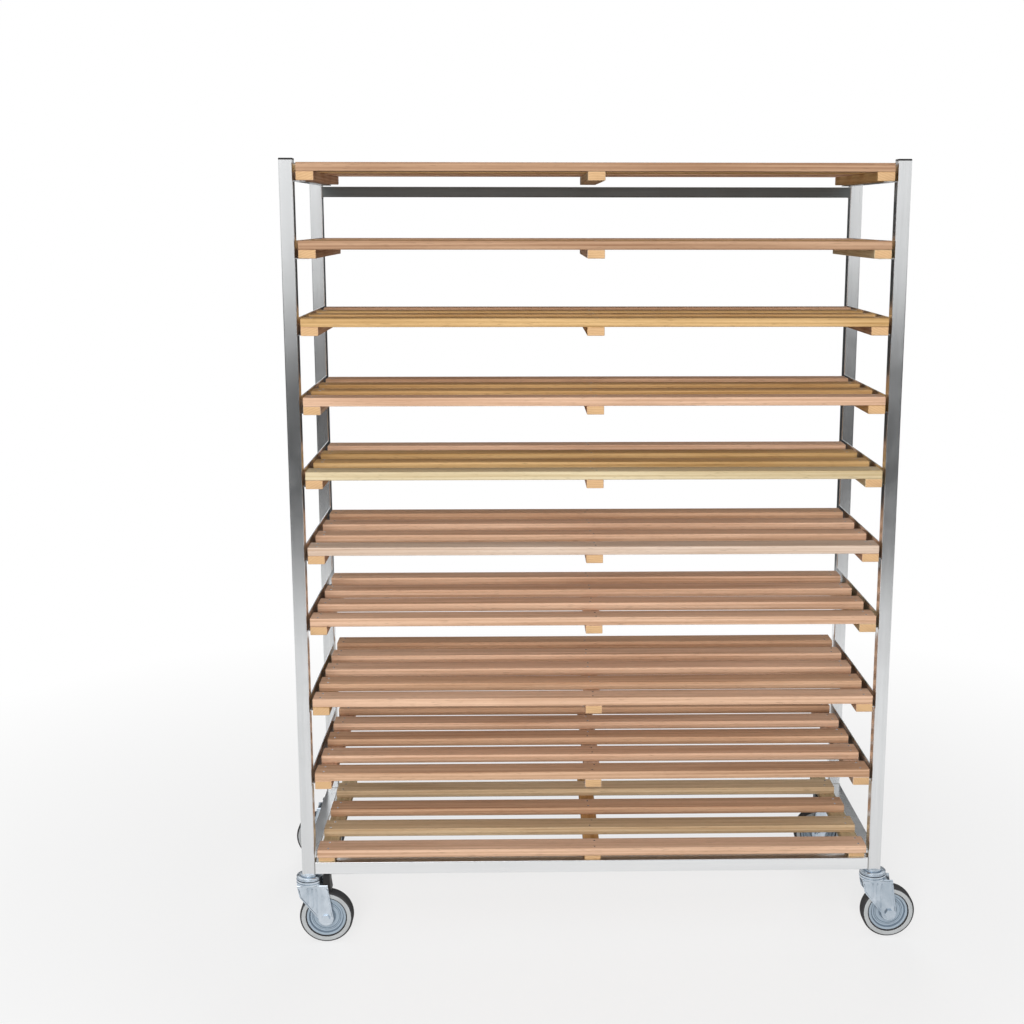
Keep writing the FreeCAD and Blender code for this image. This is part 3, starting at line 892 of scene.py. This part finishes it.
@dataclass
class Shelf:
    """One loose slatted shelf: its slats, the battens under them and the nails between."""

    number: int
    tones: tuple[Tone, ...]
    finishes: ShelfFinishes
    slat_width: float = 58.0 * MM
    batten_width: float = 38.0 * MM
    battens: int = 3
    batten_corner: float = 1.5 * MM
    nail_radius: float = 2.4 * MM
    nail_inset: float = 13.0 * MM
    nail_stray: Range = (5.0 * MM, 2.0 * MM)
    nail_sides: int = 12
    # the head's rings, as (share of its radius, height over the slat)
    nail_rings: Route = ((1.0, -0.6 * MM), (1.0, 0.06 * MM), (0.7, 0.12 * MM))
    first_seed: int = 1000
    chance: random.Random = field(default_factory=random.Random)

    def __post_init__(self) -> None:
        """Seeds the shelf's own small differences."""
        self.chance.seed(self.first_seed + self.number)

    def slat_fronts(self) -> list[float]:
        """The front edge of each slat.

        Returns:
            Their places on the Y axis.
        """
        low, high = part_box(f"shelf_{self.number}_slats")
        pitch = (high.y - low.y - self.slat_width) / (len(self.tones) - 1)
        return [low.y + i * pitch for i in range(len(self.tones))]

    def batten_sides(self) -> list[float]:
        """The left edge of each batten.

        Returns:
            Their places on the X axis.
        """
        low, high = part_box(f"shelf_{self.number}_battens")
        pitch = (high.x - low.x - self.batten_width) / (self.battens - 1)
        return [low.x + i * pitch for i in range(self.battens)]

    def build_slats(self) -> bpy.types.Object:
        """Makes the slats, each of its own piece of timber.

        Returns:
            The slats.
        """
        low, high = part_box(f"shelf_{self.number}_slats")
        used = list(dict.fromkeys(self.tones))
        timbers = [self.finishes.slats[tone] for tone in used]
        maker = MeshMaker(f"slat_boards_{self.number}", [*timbers, self.finishes.slat_end])
        for front, tone in zip(self.slat_fronts(), self.tones):
            near = Vector((low.x, front, low.z))
            far = Vector((high.x, front + self.slat_width, high.z))
            Board(near, far, Axis.X).add_to(maker, used.index(tone), len(used), self.chance)
        return maker.make()

    def build_battens(self) -> bpy.types.Object:
        """Makes the battens under the slats.

        Returns:
            The battens.
        """
        low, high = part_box(f"shelf_{self.number}_battens")
        timbers = list(self.finishes.battens.values())
        maker = MeshMaker(f"batten_boards_{self.number}", [*timbers, self.finishes.batten_end])
        for side in self.batten_sides():
            near = Vector((side, low.y, low.z))
            far = Vector((side + self.batten_width, high.y, high.z))
            slot = self.chance.randrange(len(timbers))
            board = Board(near, far, Axis.Y, corner=self.batten_corner)
            board.add_to(maker, slot, len(timbers), self.chance)
        return maker.make()

    def build_nails(self) -> bpy.types.Object:
        """Makes the nail heads, two where each slat crosses a batten.

        Returns:
            The nail heads.
        """
        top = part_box(f"shelf_{self.number}_slats")[1].z
        maker = MeshMaker(f"nail_heads_{self.number}", [self.finishes.nail])
        stray_x, stray_y = self.nail_stray
        reach = self.slat_width - 2 * self.nail_inset
        for front in self.slat_fronts():
            for side in self.batten_sides():
                for step in (0.0, reach):
                    x = side + self.batten_width / 2 + self.chance.uniform(-stray_x, stray_x)
                    y = front + self.nail_inset + step + self.chance.uniform(-stray_y, stray_y)
                    self.add_nail(maker, Vector((x, y, top)))
        return maker.make(sharp_degrees=60.0)

    def add_nail(self, maker: MeshMaker, place: Vector) -> None:
        """Adds one flat, slightly domed nail head.

        Args:
            maker: The mesh that takes it.
            place: Its middle, on the slat's face.
        """
        rings = []
        for share, rise in self.nail_rings:
            reach = self.nail_radius * share
            ring = [place + Vector((reach * c, reach * s, rise)) for c, s in around(self.nail_sides)]
            rings.append(ring)
        maker.add_rings(rings)

    def build(self) -> None:
        """Makes the shelf's pieces and sets them on its body."""
        body = f"shelf_{self.number}"
        set_on(self.build_slats(), body, f"{body}_slats")
        set_on(self.build_battens(), body, f"{body}_battens")
        set_on(self.build_nails(), body)
        log.info("shelf %d: %d slats, %d battens", self.number, len(self.tones), self.battens)


# --- frame -----------------------------------------------------------------------------------


@dataclass(frozen=True)
class FrameFinishes:
    """The materials of the tube frame."""

    upright: Material
    # painted light: the lighter stainless of the bottom cross rails
    cross: Material
    side: Material
    # painted shade: the back top rail's stainless, painted dark
    dull: Material
    cap: Material
    weld: Material

    @classmethod
    def make(cls) -> "FrameFinishes":
        """Makes the materials.

        Returns:
            The materials.
        """
        return cls(
            upright=BrushedStainless("stainless_upright", Axis.Z).build(),
            # the bottom cross rails get a lighter copy of the stainless: painted light for the bright floor
            # that they mirror
            cross=BrushedStainless("stainless_cross", Axis.X, (243, 244, 245), (228, 230, 231)).build(),
            side=BrushedStainless("stainless_side", Axis.Y).build(),
            # the back top rail's stainless is painted dark grey: painted shade and a painted dark
            # reflection of the top shelf's underside, not a darker steel
            dull=BrushedStainless("stainless_dull", Axis.X, (122, 125, 124), (98, 101, 100), 0.38).build(),
            cap=Moulded("cap_plastic", (22, 22, 23), (70, 68, 64), 0.48).build(),
            weld=BrushedStainless("stainless_weld", Axis.Z, (196, 195, 192), (150, 147, 142), 0.36).build(),
        )


@dataclass
class TubeFrame:
    """The welded frame: tubes, runners, caps and the weld beads between them."""

    finishes: FrameFinishes
    runner_pairs: int = 9
    bead: float = 1.3 * MM
    bead_sides: int = 8
    bead_pitch: float = 1.6 * MM
    bead_least_steps: int = 3
    bead_end: float = 0.35
    bead_least: float = 0.85
    bead_ripple: float = 0.2
    bead_chance: float = 0.06
    bead_seed: int = 7
    # where a runner's weld starts and ends, over the underside of its shelf's battens
    runner_weld: Range = (4.0 * MM, 34.0 * MM)

    def dress_tubes(self) -> None:
        """Gives the tubes, runners and caps their finishes."""
        for corner in Corner:
            dress(f"upright_{corner.value}", self.finishes.upright)
        # painted light: the bottom cross rails take the lighter copy of the stainless
        for rail in ("bottom_rail_front", "bottom_rail_back"):
            dress(rail, self.finishes.cross)
        # the back top rail takes the stainless painted dark as painted shade
        dress("top_rail_back", self.finishes.dull)
        for rail in ("bottom_rail_left", "bottom_rail_right", "runners_left", "runners_right"):
            dress(rail, self.finishes.side)
        dress("upright_caps", self.finishes.cap)
        log.info("tubes, runners and caps dressed")

    def add_bead(self, maker: MeshMaker, corners: list[Vector], chance: random.Random) -> None:
        """Adds a rippled weld bead along the straight lines between corners.

        Args:
            maker: The mesh that takes it.
            corners: The bead's path.
            chance: Source of the bead's ripple.
        """
        for start, end in zip(corners, corners[1:]):
            run = end - start
            steps = max(self.bead_least_steps, int(run.length / self.bead_pitch))
            along = run.normalized()
            side = along.orthogonal().normalized()
            up = along.cross(side)
            rings = []
            for i in range(steps + 1):
                middle = start + run * (i / steps)
                swell = self.bead_end if i in (0, steps) else 1.0
                ripple = self.bead_least + self.bead_ripple * (i % 2)
                ripple += chance.uniform(-self.bead_chance, self.bead_chance)
                radius = self.bead * swell * ripple
                rings.append([middle + radius * (c * side + s * up) for c, s in around(self.bead_sides)])
            maker.add_rings(rings)

    def rail_joint(self, rail: str, end: int, axis: Axis) -> list[Vector]:
        """The square path round one end of a rail.

        Args:
            rail: The rail's node.
            end: 0 for its low end, 1 for its high one.
            axis: The axis that the rail runs along.

        Returns:
            The corners of the path, closed.
        """
        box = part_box(rail)
        one, other = axis.others
        along = box[end][axis.value]
        square = ((0, 0), (1, 0), (1, 1), (0, 1), (0, 0))
        return [axis.point(box[first][one], box[second][other], along) for first, second in square]

    def build_welds(self) -> None:
        """Makes the beads round the rails' ends and along the runners' ends."""
        chance = random.Random(self.bead_seed)
        maker = MeshMaker("weld_beads", [self.finishes.weld])
        rails = {
            "bottom_rail_front": Axis.X,
            "bottom_rail_back": Axis.X,
            "top_rail_back": Axis.X,
            "bottom_rail_left": Axis.Y,
            "bottom_rail_right": Axis.Y,
        }
        for rail, axis in rails.items():
            for end in (0, 1):
                self.add_bead(maker, self.rail_joint(rail, end, axis), chance)
        for side in ("left", "right"):
            low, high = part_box(f"runners_{side}")
            wall = high.x if side == "right" else low.x
            for number in range(1, self.runner_pairs + 1):
                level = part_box(f"shelf_{number}_battens")[0].z
                for y in (low.y, high.y):
                    ends = [Vector((wall, y, level + rise)) for rise in self.runner_weld]
                    self.add_bead(maker, ends, chance)
            log.info("welds on the %s side", side)
        set_on(maker.make(sharp_degrees=70.0), "frame")

    def build(self) -> None:
        """Dresses and completes the frame."""
        self.dress_tubes()
        self.build_welds()


# --- casters ---------------------------------------------------------------------------------


class Skin(IntEnum):
    """The two skins of a wheel's pieces, as the material slots that hold them: a plain one, and a dark one
    that is painted shade.
    """

    PLAIN = 0
    # painted shade: faces painted dark for the tread, the tyre's seam and the rim's creases
    DARK = 1


# a closed section, as (radius, reach along the axis, skin) points
Profile = list[tuple[float, float, Skin]]


def middle_of(node: str) -> Vector:
    """The middle of a CAD node's box."""
    low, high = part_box(node)
    return (low + high) / 2


def turned(
    name: str,
    middle: Vector,
    profiles: list[Profile],
    materials: list[Material],
    axle: Axis,
    steps: int = 96,
) -> bpy.types.Object:
    """Turns closed profiles about an axis.

    Args:
        name: The piece's name.
        middle: The piece's middle, on the axis.
        profiles: The closed profiles.
        materials: The piece's materials.
        axle: The axis.
        steps: Points round the axis.

    Returns:
        The turned object.
    """
    maker = MeshMaker(name, materials)
    for profile in profiles:
        rings = []
        for c, s in around(steps):
            ring = [middle + axle.point(radius * c, radius * s, reach) for radius, reach, _ in profile]
            rings.append(ring)
        maker.add_loop(rings, [skin for _, _, skin in profile])
    return maker.make(sharp_degrees=35.0)


def both_halves(half: Profile) -> Profile:
    """Closes half a wheel's section with its mirror image.

    Args:
        half: The points on one side of the wheel's middle plane.

    Returns:
        The whole closed section.
    """
    other = [(radius, -reach, skin) for radius, reach, skin in reversed(half)]
    after = [skin for _, _, skin in other[1:]] + [Skin.PLAIN]
    return half + [(radius, reach, skin) for (radius, reach, _), skin in zip(other, after)]


@dataclass(frozen=True)
class CasterFinishes:
    """The materials of the casters."""

    zinc: Material
    rim: Material
    # painted shade: a darker copy of the rim plastic for the web's creases
    rim_crease: Material
    tyre: Material
    # painted shade: the tyre's tread, shoulders and seam, painted dark
    tread: Material
    pedal: Material

    @classmethod
    def make(cls, zinc: Material) -> "CasterFinishes":
        """Makes the materials.

        Args:
            zinc: The material of the pressed steel.

        Returns:
            The materials.
        """
        return cls(
            zinc=zinc,
            rim=Moulded("rim_plastic", (160, 174, 186), (126, 136, 144), 0.38, 700.0).build(),
            # painted shade: a darker copy of the rim plastic for the creases of the web
            rim_crease=Moulded("rim_crease", (116, 130, 144), (92, 102, 110), 0.5, 700.0).build(),
            tyre=Moulded("tyre_grey", (186, 189, 190), (140, 140, 137), 0.6, 500.0, 0.3).build(),
            # painted shade: the grey tyre's tread, shoulders and seam painted dark grey, for the tread in
            # shadow and the seam's recess
            tread=Moulded("tread_dark", (58, 58, 60), (96, 92, 86), 0.78, 420.0, 0.4).build(),
            pedal=Moulded("pedal_plastic", (26, 26, 28), (80, 78, 74), 0.5).build(),
        )


@dataclass
class Wheel:
    """A caster's wheel: a grey tyre with its tread painted dark as painted shade, on a dished rim."""

    corner: Corner
    finishes: CasterFinishes
    seam_width: float = 2.2 * MM
    # the seam's depth under the tyre's side, by the rim and by the wall
    seam_depths: Range = (3.0 * MM, 3.2 * MM)
    # the wall's lip, as (distance past the seam, depth under the side)
    wall_lip: Range = (0.6 * MM, 0.4 * MM)
    wall_start: float = 8.0 * MM
    # the shoulder's height, and its depth as a share of that
    shoulder: float = 6.0 * MM
    shoulder_share: float = 0.9
    shoulder_steps: int = 6
    grooves: int = 3
    groove_first: float = 1.0 * MM
    groove_pitch: float = 3.4 * MM
    groove_width: float = 1.8 * MM
    groove_slope: float = 0.5 * MM
    groove_depth: float = 0.7 * MM
    bore: float = 6.2 * MM
    # the hub's flat face, from its inner to its outer radius
    hub_face: Range = (10.0 * MM, 15.5 * MM)
    # the step down inside that face, as (width, depth)
    hub_recess: Range = (0.5 * MM, 1.0 * MM)
    hub_slope: float = 1.5 * MM
    # the web's steps from the hub to the lip, as (radius, reach, skin); faces in the dark skin are painted
    # shade in the web's creases
    web: tuple[tuple[float, float, Skin], ...] = (
        (19.0 * MM, 10.0 * MM, Skin.DARK),
        (22.0 * MM, 8.0 * MM, Skin.PLAIN),
        (29.5 * MM, 8.0 * MM, Skin.DARK),
        (31.0 * MM, 9.5 * MM, Skin.PLAIN),
        (33.0 * MM, 9.5 * MM, Skin.DARK),
        (34.5 * MM, 8.0 * MM, Skin.PLAIN),
        (38.0 * MM, 8.0 * MM, Skin.DARK),
        (40.5 * MM, 13.0 * MM, Skin.PLAIN),
        (42.0 * MM, 13.8 * MM, Skin.PLAIN),
    )
    # the bevel of the lip's edge, as (width, depth)
    lip_ease: Range = (0.6 * MM, 0.8 * MM)

    def half_sizes(self, part: str) -> Range:
        """The outer radius and half the width of the tyre or the rim."""
        low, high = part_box(self.corner.node(part))
        return ((high.z - low.z) / 2, (high.y - low.y) / 2)

    def tyre_profile(self) -> Profile:
        """The tyre's section: tread and round shoulders painted dark as painted shade, grey side, and a
        seam by the rim painted dark as painted shade in its recess.

        Returns:
            The closed section.
        """
        outer, half = self.half_sizes("tyre")
        rim, _ = self.half_sizes("rim")
        seam = rim + self.seam_width
        side = [
            # the seam's faces by the rim take the dark skin: painted shade in the recess
            (rim, half - self.seam_depths[0], Skin.DARK),
            (seam, half - self.seam_depths[1], Skin.DARK),
            (seam + self.wall_lip[0], half - self.wall_lip[1], Skin.PLAIN),
            (rim + self.wall_start, half, Skin.PLAIN),
        ]
        deep = self.shoulder * self.shoulder_share
        for step in range(self.shoulder_steps + 1):
            turn = QUARTER_TURN * step / self.shoulder_steps
            radius = outer - self.shoulder + self.shoulder * math.sin(turn)
            reach = half - deep + deep * math.cos(turn)
            side.append((radius, reach, Skin.DARK if step > 0 else Skin.PLAIN))
        floor = outer - self.groove_depth
        for groove in range(self.grooves):
            start = half - self.shoulder - self.groove_first - groove * self.groove_pitch
            end = start - self.groove_width
            side += [(outer, start, Skin.DARK), (floor, start - self.groove_slope, Skin.DARK)]
            side += [(floor, end + self.groove_slope, Skin.DARK), (outer, end, Skin.DARK)]
        return both_halves(side)

    def rim_profile(self) -> Profile:
        """The rim's section: bearing face, hub, dished web with a ring, and the lip under the tyre.

        Returns:
            The closed section.
        """
        outer, hub = self.half_sizes("rim")
        inner, edge = self.hub_face
        ease, recess = self.hub_recess
        lip = self.web[-1][1]
        half = [
            (self.bore, hub - recess, Skin.PLAIN),
            (inner - ease, hub - recess, Skin.PLAIN),
            (inner, hub, Skin.PLAIN),
            (edge, hub, Skin.PLAIN),
            (edge + self.hub_slope, hub - self.hub_slope, Skin.PLAIN),
            *self.web,
            (outer - self.lip_ease[0], lip, Skin.PLAIN),
            (outer, lip - self.lip_ease[1], Skin.PLAIN),
        ]
        return both_halves(half)

    def build(self) -> None:
        """Makes the tyre and the rim, and sets them on the wheel's body."""
        body = f"wheel_{self.corner.value}"
        middle = middle_of(self.corner.node("tyre"))
        # the second skin is the painted shade of the tread and the seam
        tyre_skins = [self.finishes.tyre, self.finishes.tread]
        tyre = turned(f"tyre_{self.corner.value}", middle, [self.tyre_profile()], tyre_skins, Axis.Y)
        rim_skins = [self.finishes.rim, self.finishes.rim_crease]
        rim = turned(f"rim_{self.corner.value}", middle, [self.rim_profile()], rim_skins, Axis.Y)
        set_on(tyre, body, self.corner.node("tyre"))
        set_on(rim, body, self.corner.node("rim"))


@dataclass
class SwivelHead:
    """The raised rings round the collar and the cup of a swivel head."""

    corner: Corner
    zinc: Material
    rise: float = 1.5 * MM
    steps: int = 8
    # the rings' middle lines, as (radius, height)
    rings: Route = ((29.0 * MM, 158.6 * MM), (29.0 * MM, 162.4 * MM), (20.0 * MM, 167.6 * MM))

    def ring_profile(self, radius: float, level: float) -> Profile:
        """The section of one ring: round outside and square inside.

        Args:
            radius: Its middle line's radius.
            level: Its middle line's height.

        Returns:
            The closed section.
        """
        profile = []
        for step in range(self.steps + 1):
            turn = HALF_TURN * (step / self.steps - 0.5)
            out, up = self.rise * math.cos(turn), self.rise * math.sin(turn)
            profile.append((radius + out, level + up, Skin.PLAIN))
        inside = radius - self.rise
        profile.append((inside, level + self.rise, Skin.PLAIN))
        profile.append((inside, level - self.rise, Skin.PLAIN))
        return profile

    def build(self) -> None:
        """Makes the rings and sets them on the frame."""
        middle = middle_of(self.corner.node("fitting"))
        middle.z = 0.0
        profiles = [self.ring_profile(radius, level) for radius, level in self.rings]
        rings = turned(f"head_rings_{self.corner.value}", middle, profiles, [self.zinc], Axis.Z)
        set_on(rings, "frame")


@dataclass
class ForkEdges:
    """The rolled edges and pressed ribs of a fork's two legs."""

    corner: Corner
    zinc: Material
    leg_face: float = 22.0 * MM
    # how deep the rods' middle lines lie under the legs' faces
    sunk: float = 0.4 * MM
    radius: float = 2.0 * MM
    sides: int = 10
    end_share: float = 0.4
    # middle lines of a leg's rolled edges, as (reach from the swivel axis, height)
    front_edge: Route = (
        (-25.0 * MM, 139.0 * MM),
        (-24.2 * MM, 136.0 * MM),
        (-20.6 * MM, 118.0 * MM),
        (-19.0 * MM, 114.6 * MM),
        (16.5 * MM, 69.0 * MM),
        (18.0 * MM, 66.0 * MM),
    )
    back_edge: Route = (
        (42.8 * MM, 139.0 * MM),
        (43.2 * MM, 136.0 * MM),
        (53.0 * MM, 69.0 * MM),
        (53.4 * MM, 66.0 * MM),
    )
    # a leg's ribs, as (reach from the swivel axis, lower end)
    ribs: Route = ((-3.0 * MM, 100.0 * MM), (8.0 * MM, 87.0 * MM), (18.0 * MM, 76.0 * MM))
    rib_top: float = 139.0 * MM
    rib_ease: float = 3.0 * MM

    def routes(self) -> list[Route]:
        """The middle lines of a leg's rolled edges and ribs.

        Returns:
            The lines, as (reach from the swivel axis, height) points.
        """
        lines = [self.front_edge, self.back_edge]
        for reach, foot in self.ribs:
            heights = (self.rib_top, self.rib_top - self.rib_ease, foot + self.rib_ease, foot)
            lines.append(tuple((reach, height) for height in heights))
        return lines

    def add_rod(self, maker: MeshMaker, path: list[Vector]) -> None:
        """Adds a round rod along a path in a plane of constant Y, with tapered ends.

        Args:
            maker: The mesh that takes it.
            path: Its middle line.
        """
        rings = []
        across = Vector((0.0, 1.0, 0.0))
        last = len(path) - 1
        for i, point in enumerate(path):
            run = (path[min(i + 1, last)] - path[max(i - 1, 0)]).normalized()
            side = run.cross(across).normalized()
            radius = self.radius * (self.end_share if i in (0, last) else 1.0)
            rings.append([point + radius * (c * side + s * across) for c, s in around(self.sides)])
        maker.add_rings(rings)

    def build(self) -> None:
        """Makes the edges and ribs and sets them on the fork's body."""
        wheel = middle_of(self.corner.node("tyre"))
        swivel = middle_of(self.corner.node("fitting"))
        heading = 1.0 if wheel.x > swivel.x else -1.0
        maker = MeshMaker(f"fork_edges_{self.corner.value}", [self.zinc])
        for leg in (-1.0, 1.0):
            y = wheel.y + leg * (self.leg_face - self.sunk)
            for route in self.routes():
                self.add_rod(maker, [Vector((swivel.x + heading * x, y, z)) for x, z in route])
        set_on(maker.make(sharp_degrees=70.0), f"caster_{self.corner.value}")


@dataclass
class Caster:
    """One swivel caster: grooved head, pressed fork, axle, wheel and, on two of them, a brake."""

    corner: Corner
    finishes: CasterFinishes

    def dress_metal(self) -> None:
        """Gives the zinc pieces and the pedal their finishes."""
        for part in ("fitting", "fork", "axle", "balls"):
            dress(self.corner.node(part), self.finishes.zinc)
        if self.corner.braked:
            dress(self.corner.node("pedal_pin"), self.finishes.zinc)
            dress(self.corner.node("pedal"), self.finishes.pedal)

    def build(self) -> None:
        """Makes and dresses the caster."""
        Wheel(self.corner, self.finishes).build()
        SwivelHead(self.corner, self.finishes.zinc).build()
        ForkEdges(self.corner, self.finishes.zinc).build()
        self.dress_metal()
        log.info("caster %s", self.corner.value)


# --- studio ----------------------------------------------------------------------------------


@dataclass(frozen=True)
class PaleFloor:
    """A matt pale floor that keeps the rack's shadow and turns to plain white away from it."""

    reach: float = 14.0
    # where it starts to turn white, how white it is there, and where it is all white
    near: float = 1.0
    least_white: float = 0.7
    far: float = 2.6
    # its grey to the eye, and to the light that it throws back
    shown: float = 0.95
    bounced: float = 0.2

    def finish(self) -> Material:
        """Makes the material.

        Returns:
            The material.
        """
        tree = FinishTree("floor_white")
        seen = tree.seen()
        shown = (self.shown, self.shown, self.shown, 1.0)
        bounced = (self.bounced, self.bounced, self.bounced, 1.0)
        tree.feed("Base Color", tree.mix(seen, bounced, shown))
        tree.feed("Roughness", 1.0)
        tree.feed("Specular IOR Level", 0.0)
        white = tree.node("ShaderNodeEmission", {"Strength": 1.0}).outputs["Emission"]
        place = tree.stretched((1.0, 1.0, 1.0))
        distance = tree.node("ShaderNodeVectorMath", {0: place}, operation="LENGTH").outputs["Value"]
        away = tree.remap(distance, (self.near, self.far), (self.least_white, 1.0))
        share = tree.math(Maths.MULTIPLY, away, seen)
        mixed = tree.mix_shaders(share, tree.shader.outputs["BSDF"], white)
        tree.link(mixed, tree.output.inputs["Surface"])
        return tree.material

    def build(self) -> None:
        """Makes the floor."""
        maker = MeshMaker("floor", [self.finish()])
        signs = ((-1, -1), (1, -1), (1, 1), (-1, 1))
        maker.add_face([Vector((x * self.reach, y * self.reach, 0.0)) for x, y in signs])
        maker.make()


@dataclass(frozen=True)
class DarkCards:
    """Dark cards round the floor, which only the bright metal mirrors."""

    side: float = 3.9
    front: float = -3.9
    back: float = 3.4
    front_height: float = 1.2
    side_height: float = 1.4
    back_height: float = 1.95
    black: Moulded = Moulded("card_black", (70, 71, 72), (84, 84, 84), 0.9)

    def build(self) -> None:
        """Makes the cards."""
        maker = MeshMaker("dark_cards", [self.black.build()])
        corners = [(-self.side, self.front), (self.side, self.front)]
        corners += [(self.side, self.back), (-self.side, self.back)]
        heights = (self.front_height, self.side_height, self.back_height, self.side_height)
        for i, top in enumerate(heights):
            (ax, ay), (bx, by) = corners[i], corners[(i + 1) % len(corners)]
            card = ((ax, ay, 0.0), (bx, by, 0.0), (bx, by, top), (ax, ay, top))
            maker.add_face([Vector(point) for point in card])
        cards = maker.make()
        cards.visible_camera = False
        cards.visible_diffuse = False
        cards.visible_shadow = False
        cards.visible_transmission = False


@dataclass(frozen=True)
class SoftDome:
    """Light from all round, stronger from front and back, that the eye and mirrors see as plain white."""

    around: float = 0.16
    front: float = 0.2
    back: float = 0.2
    white: Rgba = (1.0, 1.0, 1.0, 1.0)

    def build(self) -> None:
        """Makes the world."""
        world = bpy.data.worlds.new("soft_dome")
        bpy.context.scene.world = world
        tree = NodeTree(world)
        way = tree.nodes.new("ShaderNodeTexCoord").outputs["Generated"]
        depth = tree.node("ShaderNodeSeparateXYZ", {"Vector": way}).outputs["Y"]
        ahead = tree.math(Maths.GREATER, tree.math(Maths.MULTIPLY, depth, -1.0), 0.0)
        behind = tree.math(Maths.GREATER, depth, 0.0)
        turned_way = tree.weighed((ahead, self.front), (behind, self.back))
        strength = tree.math(Maths.ADD, turned_way, self.around)
        light = tree.node("ShaderNodeBackground", {"Color": self.white, "Strength": strength})
        shown = tree.node("ShaderNodeBackground", {"Color": self.white})
        mixed = tree.mix_shaders(tree.seen(), light.outputs["Background"], shown.outputs["Background"])
        tree.node("ShaderNodeOutputWorld", {"Surface": mixed})


@dataclass(frozen=True)
class SoftLamp:
    """One square soft lamp that points at the rack; bright metal shows it where it is mirrored."""

    name: str
    place: Span
    watts: float
    mirrored: bool
    size: float = 2.6
    aim: Span = (0.0, 0.0, 0.9)

    def build(self) -> None:
        """Makes the lamp."""
        data = bpy.data.lights.new(self.name, "AREA")
        data.size = self.size
        data.energy = self.watts
        lamp = bpy.data.objects.new(self.name, data)
        lamp.location = self.place
        lamp.visible_glossy = self.mirrored
        way = Vector(self.aim) - Vector(self.place)
        lamp.rotation_euler = way.to_track_quat("-Z", "Y").to_euler()
        bpy.context.scene.collection.objects.link(lamp)


@dataclass(frozen=True)
class StudioCamera:
    """The camera: it stands a little left of the middle and looks slightly down."""

    place: Span = (-0.1588, -3.5443, 1.6795)
    yaw_degrees: float = 1.347
    pitch_degrees: float = 11.107
    roll_degrees: float = 0.054
    # focal length and shift to the side, in pixels of a picture this wide
    picture: float = 1024.0
    focal: float = 1500.4
    shift: float = -46.4
    sensor: float = 36.0
    reach: float = 60.0

    def build(self) -> None:
        """Sets the camera."""
        data = bpy.data.cameras.new("camera")
        data.sensor_width = self.sensor
        data.lens = self.focal / self.picture * self.sensor
        data.shift_x = self.shift / self.picture
        data.clip_end = self.reach
        camera = bpy.data.objects.new("camera", data)
        bpy.context.scene.collection.objects.link(camera)
        upright = Matrix.Rotation(math.radians(90.0 - self.pitch_degrees), 4, "X")
        heading = Matrix.Rotation(math.radians(-self.yaw_degrees), 4, "Z")
        roll = Matrix.Rotation(math.radians(self.roll_degrees), 4, "Z")
        camera.matrix_world = Matrix.Translation(self.place) @ heading @ upright @ roll
        bpy.context.scene.camera = camera


@dataclass(frozen=True)
class Studio:
    """Camera, pale floor, dark cards and soft light."""

    lamps: tuple[SoftLamp, ...] = (
        SoftLamp("key_lamp", (-1.4, -4.4, 3.9), 42.0, mirrored=True),
        SoftLamp("low_lamp", (-0.5, -6.5, 2.1), 352.0, mirrored=False),
        SoftLamp("back_lamp", (0.8, 5.2, 1.4), 130.0, mirrored=False),
    )

    def build(self) -> None:
        """Sets up camera, floor, cards and light."""
        bpy.context.scene.view_settings.view_transform = "Standard"
        StudioCamera().build()
        PaleFloor().build()
        DarkCards().build()
        SoftDome().build()
        for lamp in self.lamps:
            lamp.build()
        log.info("studio ready")


# --- the whole rack --------------------------------------------------------------------------


def main() -> None:
    """Builds the studio, the frame, the shelves and the casters."""
    logging.basicConfig(level=logging.INFO, format="%(message)s")
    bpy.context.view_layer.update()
    Studio().build()
    zinc = ZincPlate("zinc_plate").build()
    TubeFrame(FrameFinishes.make()).build()
    shelf_finishes = ShelfFinishes.make(nail=zinc)
    for number, tones in SHELF_TONES.items():
        Shelf(number, tones, shelf_finishes).build()
    caster_finishes = CasterFinishes.make(zinc)
    for corner in Corner:
        Caster(corner, caster_finishes).build()


if __name__ == "__main__":
    main()
